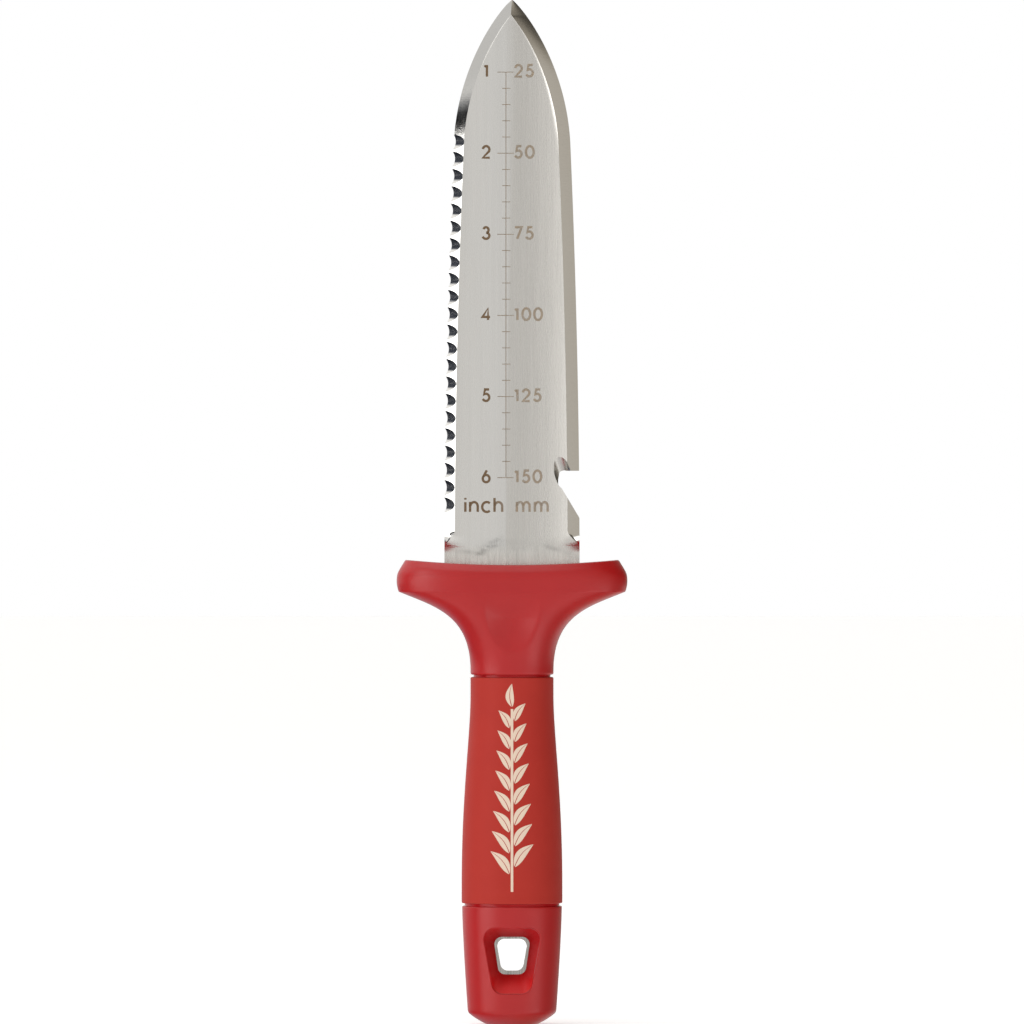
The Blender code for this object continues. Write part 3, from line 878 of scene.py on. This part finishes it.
# Width and strokes of plain round sans letters, one unit high. A stroke that closes ends where it starts.
GLYPHS = {
    "0": (0.66, [arc(0.33, 0.5, 0.33, 0.5, 0, 360, 28)]),
    "1": (0.30, [[(0.22, 0.0), (0.22, 1.0)], [(0.0, 0.84), (0.14, 0.93)]]),
    "2": (0.62, [arc(0.31, 0.70, 0.28, 0.30, 172, -32) + [(0.04, 0.0), (0.62, 0.0)]]),
    "3": (0.58, [arc(0.28, 0.76, 0.22, 0.24, 165, -80), arc(0.28, 0.27, 0.29, 0.27, 86, -165)]),
    "4": (0.64, [[(0.48, 0.0), (0.48, 1.0), (0.0, 0.26), (0.40, 0.26)], [(0.56, 0.26), (0.66, 0.26)]]),
    "5": (0.60, [[(0.56, 1.0), (0.20, 1.0), (0.11, 0.56)] + arc(0.28, 0.32, 0.29, 0.31, 108, -155)]),
    "6": (0.60, [arc(0.30, 0.31, 0.29, 0.31, 0, 360, 28), [(0.07, 0.50), (0.36, 1.02)]]),
    "7": (0.60, [[(0.0, 1.0), (0.58, 1.0), (0.20, 0.0)]]),
    "i": (0.06, [[(0.0, 0.0), (0.0, 0.70)], [(0.0, 0.88), (0.0, 1.0)]]),
    "n": (0.58, [[(0.0, 0.0), (0.0, 0.72)], arch(0.02, 0.55)]),
    "h": (0.58, [[(0.0, 0.0), (0.0, 1.0)], arch(0.02, 0.55)]),
    "c": (0.62, [arc(0.34, 0.35, 0.33, 0.36, 48, 312)]),
    "m": (0.98, [[(0.0, 0.0), (0.0, 0.72)], arch(0.02, 0.46), arch(0.48, 0.92)]),
}


def write(bm, text, x, z, height, spacing):
    """Write a line of text on the blade from x on the baseline z."""
    for letter in text:
        width, strokes = GLYPHS[letter]
        for points in strokes:
            placed = [(x + px * height, z + pz * height) for px, pz in points]
            closed = math.dist(placed[0], placed[-1]) < SCALE_STROKE / 20
            ribbon(bm, placed[:-1] if closed else placed, SCALE_STROKE, blade_face, closed)
        x += (width + spacing) * height


def make_scale(material):
    """Inch and millimetre scale with its long line, ticks, numerals and units."""
    bm = bmesh.new()
    top = TOOL_LENGTH - INCH + SCALE_RAISE
    bottom = top - 5 * INCH
    ribbon(bm, divide((SCALE_LINE_X, top), (SCALE_LINE_X, bottom), 60), SCALE_LINE_WIDTH, blade_face)
    half = SCALE_LINE_WIDTH / 2
    for tick in range(26):
        z = top - tick * INCH / 5
        left, right = SHORT_TICK if tick % 5 else LONG_TICK
        for start, end in ((left, SCALE_LINE_X - half), (SCALE_LINE_X + half, right)):
            ribbon(bm, divide((start, z), (end, z), 4), SCALE_LINE_WIDTH, blade_face)
    height = NUMERAL_HEIGHT
    for inches in range(1, 7):
        base = top - (inches - 1) * INCH - height / 2 + NUMERAL_RAISE
        label = str(inches)
        write(bm, label, INCH_NUMERAL_X - GLYPHS[label][0] * height / 2, base, height, 0.0)
        write(bm, str(25 * inches), MM_NUMERAL_X, base, height, 0.35)
    write(bm, "inch", INCH_UNIT_X, bottom - UNIT_DROP, UNIT_HEIGHT, 0.28)
    write(bm, "mm", MM_UNIT_X, bottom - UNIT_DROP, UNIT_HEIGHT, 0.32)
    return attach(add_object("depth_scale", bm, material), "engraving")


def leaf(bm, x, z, length, half_width, angle):
    """Pointed leaf in two halves with a bare vein between them, leaning by an angle from straight up."""
    for side in (-1, 1):
        rows = []
        for t in spread(0.02, 0.98, 20):
            width = half_width * math.sin(math.pi * t**0.8)
            vein = min(0.5 * width, VEIN_HALF_WIDTH * (1 - t) ** 0.5)
            bend = LEAF_BEND * length * math.sin(math.pi * t) * math.copysign(1.0, angle)
            row = []
            for across in spread(side * vein - bend, side * width - bend, 4):
                px = x + t * length * math.sin(angle) + across * math.cos(angle)
                pz = z + t * length * math.cos(angle) - across * math.sin(angle)
                row.append((px, pz))
            rows.append(row)
        slab(bm, rows, grip_skin)


def make_print(material):
    """Plain leafy sprig printed up the grip."""
    bm = bmesh.new()
    ribbon(bm, divide((0.0, SPRIG_BOTTOM), (0.0, SPRIG_TOP), 60), SPRIG_STEM, grip_skin)
    for pair in range(LEAF_PAIRS):
        share = pair / (LEAF_PAIRS - 1)
        length = mix(*LEAF_LENGTHS, share)
        half_width = mix(*LEAF_HALF_WIDTHS, share)
        angle = math.radians(mix(*LEAF_ANGLES, share))
        for side, lift in ((-1, 0.0), (1, LEAF_STAGGER)):
            z = mix(*LEAF_SPAN, share) + lift
            leaf(bm, side * LEAF_OFFSET, z, length, half_width, side * angle)
    leaf(bm, 0.0, SPRIG_TOP + 0.6 * MM, *TOP_LEAF, 0.0)
    return attach(add_object("grip_print", bm, material), "print")


# Materials


class Graph:
    """Short calls that build a node tree and return output sockets."""

    def __init__(self, owner):
        self.owner = owner
        owner.use_nodes = True
        self.tree = owner.node_tree
        self.tree.nodes.clear()

    def node(self, kind, inputs=None, **settings):
        node = self.tree.nodes.new(kind)
        for name, value in settings.items():
            setattr(node, name, value)
        for name, value in (inputs or {}).items():
            self.plug(node.inputs[name], value)
        return node

    def plug(self, socket, value):
        if isinstance(value, bpy.types.NodeSocket):
            self.tree.links.new(value, socket)
        elif isinstance(value, tuple) and len(value) == 3 and socket.type == "RGBA":
            socket.default_value = (*value, 1.0)
        else:
            socket.default_value = value

    def math(self, operation, *values, clamp=False):
        inputs = dict(enumerate(values))
        return self.node("ShaderNodeMath", inputs, operation=operation, use_clamp=clamp).outputs[0]

    def plus(self, a, b, clamp=False):
        return self.math("ADD", a, b, clamp=clamp)

    def minus(self, a, b, clamp=False):
        return self.math("SUBTRACT", a, b, clamp=clamp)

    def times(self, a, b):
        return self.math("MULTIPLY", a, b)

    def remap(self, value, low, high, to_low=0.0, to_high=1.0, smooth=False):
        kind = "SMOOTHSTEP" if smooth else "LINEAR"
        inputs = {"Value": value, "From Min": low, "From Max": high, "To Min": to_low, "To Max": to_high}
        return self.node("ShaderNodeMapRange", inputs, interpolation_type=kind).outputs[0]

    def mix(self, factor, a, b):
        """Go from colour a to colour b."""
        return self.node("ShaderNodeMix", {0: factor, 6: a, 7: b}, data_type="RGBA").outputs[2]

    def blend(self, factor, a, b):
        """Go from number a to number b."""
        return self.node("ShaderNodeMix", {0: factor, 2: a, 3: b}).outputs[0]

    def tint(self, color, factor):
        """Multiply a colour by a number."""
        return self.node("ShaderNodeVectorMath", {0: color, "Scale": factor}, operation="SCALE").outputs[0]

    def place(self):
        """Object coordinates in millimetres."""
        coords = self.node("ShaderNodeTexCoord").outputs["Object"]
        return self.stretch(coords, (1000.0,) * 3)

    def split(self, vector):
        return self.node("ShaderNodeSeparateXYZ", {0: vector}).outputs

    def stretch(self, vector, factors):
        return self.node("ShaderNodeVectorMath", {0: vector, 1: factors}, operation="MULTIPLY").outputs[0]

    def noise(self, vector, scale, detail=2.0, roughness=0.5):
        inputs = {"Vector": vector, "Scale": scale, "Detail": detail, "Roughness": roughness}
        return self.node("ShaderNodeTexNoise", inputs).outputs["Fac"]

    def bump(self, height, strength, distance):
        inputs = {"Height": height, "Strength": strength, "Distance": distance}
        return self.node("ShaderNodeBump", inputs).outputs[0]

    def principled(self, color, **inputs):
        names = {name.replace("_", " "): value for name, value in inputs.items()}
        return self.node("ShaderNodeBsdfPrincipled", {"Base Color": color, **names}).outputs[0]

    def finish(self, shader, kind="ShaderNodeOutputMaterial"):
        self.plug(self.node(kind).inputs["Surface"], shader)
        return self.owner

    def coat(self, color, **inputs):
        """Finish with one principled shader."""
        return self.finish(self.principled(color, **inputs))


def start_material(name):
    """The empty graph of a new material, and the place on the piece in millimetres."""
    g = Graph(bpy.data.materials.new(name))
    return g, g.place()


def stroke(g, x, z, start, end, half_width):
    """1 along the straight line from start to end, fading to 0 at half_width above and below it."""
    slope = (end[1] - start[1]) / (end[0] - start[0])
    line = g.plus(g.times(g.minus(x, start[0]), slope), start[1])
    near = g.remap(g.math("ABSOLUTE", g.minus(z, line)), half_width, 0.0, smooth=True)
    starting = g.remap(x, start[0] - 1.5, start[0] + 1.5, smooth=True)
    ending = g.remap(x, end[0] + 1.5, end[0] - 1.5, smooth=True)
    return g.times(near, g.times(starting, ending))


def smudges(g, x, z, cloud, grain):
    """Painted reflections above the guard: dark patches, broken up by the grain, and one lighter patch as a
    painted highlight.
    """
    marks = 0.0
    for start, end, half_width, darkness in PAINTED_DARK_REFLECTIONS:
        marks = g.plus(marks, g.times(stroke(g, x, z, start, end, half_width), darkness))
    patchy = g.plus(g.remap(cloud, 0.40, 0.60, 0.2, 1.0), g.times(g.minus(grain, 0.5), 3.0))
    start, end, half_width, darkness = PAINTED_LIGHT_PATCH
    lighter_patch = g.times(stroke(g, x, z, start, end, half_width), darkness)
    return g.plus(g.times(marks, patchy), lighter_patch)


def grinding_passes(g, x, z):
    """Step from 0 to 1 where the face's painted reflection turns darker, sharper towards the guard, and the
    painted shade just past it.
    """
    past = g.minus(x, g.remap(z, 300.0, 156.0, -0.25, -1.9))
    soft = g.remap(z, 300.0, 220.0, 2.5, 0.35)
    step = g.remap(past, g.times(soft, -1.0), soft, smooth=True)
    fade = g.remap(past, 1.0, 12.0, 1.0, 0.25, smooth=True)
    return step, g.times(g.times(step, fade), 0.09)


def face_material():
    """Lengthwise brushed steel with a rougher shoulder. Its colour holds painted reflection and shade: the
    right half darker and warmer past a step near the middle, the tang darker low down, and dark and light
    patches above the guard.
    """
    g, place = start_material("brushed_steel")
    x, _, z = g.split(place)
    fine = g.noise(g.stretch(place, (5.0, 1.0, 0.06)), 1.0, 3.0, 0.6)
    broad = g.noise(g.stretch(place, (0.7, 1.0, 0.012)), 1.0, 2.0, 0.5)
    grain = g.noise(g.stretch(place, (3.0, 1.0, 0.35)), 1.0, 4.0, 0.65)
    cloud = g.noise(g.stretch(place, (0.28, 1.0, 0.5)), 1.0, 3.0, 0.6)
    shoulder = g.remap(z, 151.0, 147.0, smooth=True)
    contrast = g.remap(shoulder, 0.0, 1.0, 0.09, 0.30)
    streak = g.times(g.minus(g.plus(fine, broad), 1.0), contrast)
    coarse = g.times(g.minus(grain, 0.5), g.remap(shoulder, 0.0, 1.0, 0.05, 0.5))
    # Painted reflection: past this step the right half of the face is painted darker, as if it reflected the
    # darker right side of the room
    step, shade = grinding_passes(g, x, z)
    # Painted shade: the steel is painted darker from 60 mm down, which shows on the tang's rim inside the
    # hang hole
    painted_tang_shade = g.remap(z, 60.0, 40.0, 0.0, 0.30)
    # Painted reflections: dark and light patches above the guard
    dark = g.plus(g.plus(shade, painted_tang_shade), smudges(g, x, z, cloud, grain))
    tone = g.minus(g.plus(g.plus(1.0, streak), coarse), dark)
    # Warmer on the right half, as painted reflection, and on the shoulder
    warmth = g.math("MAXIMUM", g.times(step, 0.8), shoulder)
    color = g.tint(g.mix(warmth, STEEL, WARM_STEEL), tone)
    roughness = g.plus(0.27, g.times(g.minus(fine, 0.5), 0.12))
    tangent = g.node("ShaderNodeTangent", direction_type="RADIAL", axis="Z").outputs[0]
    edge = g.plus(z, g.times(cloud, 5.0))
    lip = g.times(g.remap(edge, 151.6, 153.2, smooth=True), 18.0)
    relief = g.plus(g.plus(fine, lip), g.times(grain, shoulder))
    return g.coat(color, Metallic=1.0, Roughness=roughness, Anisotropic=0.5,
                  Tangent=tangent, Normal=g.bump(relief, 0.10, 0.00004))


def bevel_material():
    """Ground bevel: finer and more mirror-like than the face, with cross scratches."""
    g, place = start_material("ground_bevel")
    scratch = g.noise(g.stretch(place, (0.6, 0.6, 6.0)), 1.0, 3.0, 0.6)
    mottle = g.noise(place, 1.6, 3.0, 0.6)
    speckle = g.noise(place, 3.4, 3.0, 0.65)
    color = g.tint(STEEL, g.plus(0.94, g.times(scratch, 0.12)))
    roughness = g.remap(mottle, 0.3, 0.7, 0.06, 0.10)
    normal = g.bump(g.plus(scratch, g.times(speckle, 1.2)), 0.16, 0.00004)
    return g.coat(color, Metallic=1.0, Roughness=roughness, Normal=normal)


def scratched_steel(name, stretch, tones, roughnesses, strength):
    """Bare steel with parallel scratches. Its tone and roughness each span a range over the scratches."""
    g, place = start_material(name)
    scratch = g.noise(g.stretch(place, stretch), 1.0, 3.0, 0.6)
    color = g.tint(STEEL, g.remap(scratch, 0.2, 0.8, *tones))
    roughness = g.remap(scratch, 0.3, 0.7, *roughnesses)
    normal = g.bump(scratch, strength, 0.00005)
    return g.coat(color, Metallic=1.0, Roughness=roughness, Normal=normal)


def gullet_material():
    """Saw gullets, ground across the edge and left bright."""
    return scratched_steel("ground_gullet", (0.5, 0.5, 9.0), (0.82, 1.05), (0.07, 0.15), 0.24)


def cut_edge_material():
    """Punched and ground edges of the notch and the holes."""
    return scratched_steel("cut_edge", (5.0, 0.8, 5.0), (0.80, 1.0), (0.22, 0.36), 0.2)


def hard_plastic_material():
    """Satin moulded plastic with a fine grain, polished in the two grooves and duller inside the recesses,
    whose walls get painted light: a lighter red, lighter still on the lower wall.
    """
    g, place = start_material("satin_red_plastic")
    x, y, z = g.split(place)
    grain = g.noise(place, 2.6, 3.0, 0.6)
    cloud = g.noise(place, 0.12, 2.0, 0.5)
    lower = g.math("COMPARE", z, (BUTT_TOP + SLEEVE_BOTTOM) / 2 / MM, 0.5)
    upper = g.math("COMPARE", z, (NECK_END + SLEEVE_TOP) / 2 / MM, 0.45)
    groove = g.plus(lower, upper, clamp=True)
    recess = recess_mask(g, x, y, z)
    color = g.mix(cloud, (0.400, 0.0045, 0.0055), (0.435, 0.0065, 0.0070))
    # Painted light: the recess walls are painted a lighter red than the skin, and their lower wall lighter
    # still, where light falls into the hollow
    color = g.mix(recess, color, (0.52, 0.006, 0.009))
    painted_lit_lower_wall = g.times(g.remap(recess, 0.0, 0.2), g.remap(z, 17.5, 13.0))
    color = g.mix(painted_lit_lower_wall, color, (0.74, 0.016, 0.018))
    color = g.mix(groove, color, (0.46, 0.004, 0.007))
    satin = g.plus(g.remap(grain, 0.3, 0.7, 0.28, 0.40), g.times(recess, 0.25))
    roughness = g.minus(satin, g.times(groove, 0.18))
    hidden = g.plus(g.times(recess, 0.38), g.times(groove, 0.25))
    normal = g.bump(grain, 0.40, 0.00009)
    return g.coat(color, Roughness=roughness, Normal=normal, IOR=1.5,
                  Specular_IOR_Level=g.minus(0.48, hidden))


def recess_mask(g, x, y, z):
    """How far a place is inside a recess: 0 on the outer skin, 1 on its walls, less on its lit lower wall."""
    taper = g.math("POWER", g.remap(z, BUTT_TOP / MM, BUTT_CORNER / MM), BUTT_TAPER_POWER)
    half_width = g.minus(BUTT_HALF_WIDTH / MM, g.times(taper, BUTT_TAPER / MM))
    half_depth = g.minus(BUTT_HALF_DEPTH / MM, g.times(taper, BUTT_TAPER / MM))
    share = g.math("POWER", g.math("DIVIDE", g.math("ABSOLUTE", x), half_width), NECK_SQUARENESS)
    bulge = g.math("POWER", g.minus(1.0, share, clamp=True), 1 / NECK_SQUARENESS)
    sunk = g.minus(g.times(half_depth, bulge), g.math("ABSOLUTE", y))
    bright_lip = g.math("MAXIMUM", g.remap(x, 2.0, 5.0), g.remap(z, 15.0, 12.0))
    inside = g.remap(g.minus(sunk, g.times(bright_lip, 0.5)), 0.05, 0.5)
    upright = g.math("COMPARE", z, 20.3, 12.0)
    return g.times(g.times(inside, upright), g.remap(z, 12.0, 17.5, 0.25, 1.0))


def soft_grip_material():
    """Matte soft rubber with a finer, drier surface."""
    g, place = start_material("soft_red_rubber")
    grain = g.noise(place, 4.5, 3.0, 0.65)
    cloud = g.noise(place, 0.15, 3.0, 0.55)
    color = g.mix(cloud, (0.405, 0.0165, 0.0080), (0.445, 0.0220, 0.0105))
    roughness = g.remap(grain, 0.3, 0.7, 0.52, 0.68)
    normal = g.bump(grain, 0.45, 0.00006)
    return g.coat(color, Roughness=roughness, Normal=normal, IOR=1.47,
                  Specular_IOR_Level=0.38, Sheen_Weight=0.03, Sheen_Roughness=0.4)


def etching_material():
    """Brown etched marks, dark on the left and worn thin in patches on the right."""
    g, place = start_material("etched_mark")
    x, _, _ = g.split(place)
    patch = g.noise(place, 0.8, 2.0, 0.5)
    pale = g.plus(g.remap(x, -5.6, -4.6, 0.0, 0.5), g.remap(x, -1.9, 0.8, 0.0, 0.5))
    brown = g.mix(patch, (0.15, 0.090, 0.045), (0.24, 0.155, 0.085))
    color = g.mix(pale, brown, g.mix(patch, (0.32, 0.240, 0.165), (0.52, 0.430, 0.330)))
    mark = g.principled(color, Roughness=0.5, Metallic=0.3)
    uneven = g.times(g.minus(patch, 0.5), g.remap(pale, 0.0, 1.0, 0.2, 1.4))
    worn = g.plus(g.plus(0.04, g.times(pale, 0.26)), uneven, clamp=True)
    clear = g.node("ShaderNodeBsdfTransparent").outputs[0]
    return g.finish(g.node("ShaderNodeMixShader", {0: worn, 1: mark, 2: clear}).outputs[0])


def ink_material():
    """Cream pad-printed ink, a little uneven where it lies on the rubber's grain."""
    g, place = start_material("cream_ink")
    grain = g.noise(place, 3.5, 3.0, 0.6)
    color = g.mix(grain, (0.80, 0.62, 0.48), (0.86, 0.70, 0.56))
    normal = g.bump(grain, 0.3, 0.00005)
    return g.coat(color, Roughness=g.remap(grain, 0.3, 0.7, 0.5, 0.65), Normal=normal)


# Studio


def ramp(g, azimuth, stops):
    """Brightness against azimuth, from (degrees, brightness) pairs."""
    node = g.node("ShaderNodeValToRGB", {0: g.remap(azimuth, -180.0, 180.0)})
    elements = node.color_ramp.elements
    while len(elements) > 1:
        elements.remove(elements[-1])
    top = 4.0
    for index, (degrees, value) in enumerate(stops):
        position = (degrees + 180.0) / 360.0
        element = elements[0] if index == 0 else elements.new(position)
        element.position = position
        element.color = (value / top, value / top, value / top, 1.0)
    return g.times(node.outputs[0], top)


def studio_brightness(g, azimuth, elevation):
    """Brightness all round at eye level, above it and below it, blended by elevation."""
    level = ramp(g, azimuth, (
        (-180, 0.8), (-98, 0.9), (-90, 0.09), (-72, 0.05), (-65, 3.4), (-34, 3.4), (-27, 0.75),
        (-14, 0.69), (-1.5, 0.63), (1.5, 0.86), (24, 0.88), (31, 0.56), (60, 0.50), (75, 0.10),
        (130, 0.05), (155, 0.3), (180, 0.8),
    ))
    high = ramp(g, azimuth, (
        (-180, 0.9), (-112, 1.2), (-78, 1.3), (-73, 0.72), (-50, 0.70), (-30, 0.72), (0, 0.72),
        (20, 0.70), (36, 0.55), (48, 0.42), (52, 0.30), (56, 0.12), (60, 0.05), (75, 0.08),
        (120, 0.12), (155, 0.4), (180, 0.9),
    ))
    low = ramp(g, azimuth, (
        (-180, 0.7), (-145, 0.3), (-130, 0.05), (-74, 0.03), (-68, 1.0), (-36, 1.0), (-28, 0.80),
        (24, 0.8), (34, 2.2), (56, 2.0), (68, 0.3), (110, 0.2), (124, 0.75), (180, 0.85),
    ))
    right_start = g.remap(azimuth, 0.0, 30.0, 12.0, 22.0)
    left_start = g.remap(azimuth, -66.0, -72.0, 0.0, 8.0)
    over = g.minus(elevation, g.plus(right_start, left_start))
    bright = g.blend(g.remap(over, 0.0, 8.0), level, high)
    lower_right = g.times(g.remap(elevation, -28.0, -40.0), g.remap(azimuth, 24.0, 34.0))
    below = g.times(low, g.remap(lower_right, 0.0, 1.0, 1.0, 0.38))
    return g.blend(g.remap(elevation, -3.0, -10.0), bright, below)


def black_flag(g, azimuth, elevation):
    """1 where a black flag crosses the soft box on the left."""
    gap = g.times(g.remap(elevation, 6.2, 7.4), g.remap(elevation, 20.0, 15.0))
    return g.times(gap, g.times(g.remap(azimuth, -72.0, -68.0), g.remap(azimuth, -40.0, -45.0)))


def make_world():
    """Room with a soft box and a black flag on the left and a darker right side. The camera sees white."""
    world = bpy.data.worlds.new("studio")
    bpy.context.scene.world = world
    g = Graph(world)
    x, y, z = g.split(g.node("ShaderNodeTexCoord").outputs["Generated"])
    azimuth = g.math("DEGREES", g.math("ARCTAN2", x, g.times(y, -1.0)))
    elevation = g.math("DEGREES", g.math("ARCSINE", z))
    bright = g.blend(black_flag(g, azimuth, elevation), studio_brightness(g, azimuth, elevation), 0.012)
    seen = g.node("ShaderNodeLightPath").outputs["Is Camera Ray"]
    strength = g.blend(seen, bright, 1.0)
    cool = g.times(g.remap(azimuth, -40.0, -80.0), g.remap(strength, 0.7, 0.1))
    warm = g.times(g.remap(azimuth, 20.0, 40.0), g.remap(strength, 0.9, 0.3))
    color = g.mix(warm, g.mix(cool, (1.0, 1.0, 1.0), (0.80, 0.92, 1.25)), (1.10, 1.0, 0.84))
    background = g.node("ShaderNodeBackground", {"Color": color, "Strength": strength})
    g.finish(background.outputs[0], "ShaderNodeOutputWorld")


def floor_material():
    g, place = start_material("pale_floor")
    color = g.mix(g.noise(place, 0.02, 2.0, 0.5), (0.86, 0.86, 0.855), (0.88, 0.88, 0.875))
    return g.coat(color, Roughness=0.9, Emission_Color=(1.0, 1.0, 1.0), Emission_Strength=0.43)


def make_floor():
    """Pale floor under the butt. It doesn't show in the steel, where the studio's own sides do."""
    bm = bmesh.new()
    bmesh.ops.create_circle(bm, cap_ends=True, segments=96, radius=14.0)
    floor = add_object("floor", bm, floor_material())
    floor.visible_glossy = False


def add_lamp(name, width, height, power, location):
    """Soft box aimed at the middle of the tool."""
    light = bpy.data.lights.new(name, "AREA")
    light.shape = "RECTANGLE"
    light.size = width
    light.size_y = height
    light.energy = power
    lamp = bpy.data.objects.new(name, light)
    lamp.location = location
    aim = Vector((0.0, 0.0, TOOL_LENGTH / 2)) - lamp.location
    lamp.rotation_euler = aim.to_track_quat("-Z", "Y").to_euler()
    bpy.context.scene.collection.objects.link(lamp)
    return lamp


def make_lamps(plastics):
    """A wide overhead light, and a key light from the upper left that falls on the plastics only."""
    add_lamp("overhead", 1.4, 1.4, 9.0, (-0.4, -0.3, 2.4))
    key = add_lamp("key", 0.5, 0.9, 3.0, (-0.95, -0.85, 0.75))
    lit = bpy.data.collections.new("lit_by_key")
    for obj in plastics:
        lit.objects.link(obj)
    key.light_linking.receiver_collection = lit


def make_camera():
    """Long lens, level with the middle of the tool and square to its face."""
    data = bpy.data.cameras.new("camera")
    data.lens = LENS
    data.sensor_width = SENSOR
    data.clip_start = 0.1
    data.clip_end = 100.0
    camera = bpy.data.objects.new("camera", data)
    height = (CAD_HIGH.z - CAD_LOW.z) * FRAMED_SHARE
    camera.location = (0.0, -height * LENS / SENSOR, (CAD_LOW.z + CAD_HIGH.z) / 2)
    camera.rotation_euler = (math.pi / 2, 0.0, 0.0)
    bpy.context.scene.collection.objects.link(camera)
    bpy.context.scene.camera = camera


def main():
    make_blade(face_material(), bevel_material(), gullet_material(), cut_edge_material())
    handle = make_handle(hard_plastic_material())
    grip = make_grip(soft_grip_material())
    make_scale(etching_material())
    make_print(ink_material())
    make_world()
    make_floor()
    make_lamps([handle, grip])
    make_camera()
    bpy.context.scene.view_settings.view_transform = "Standard"


main()
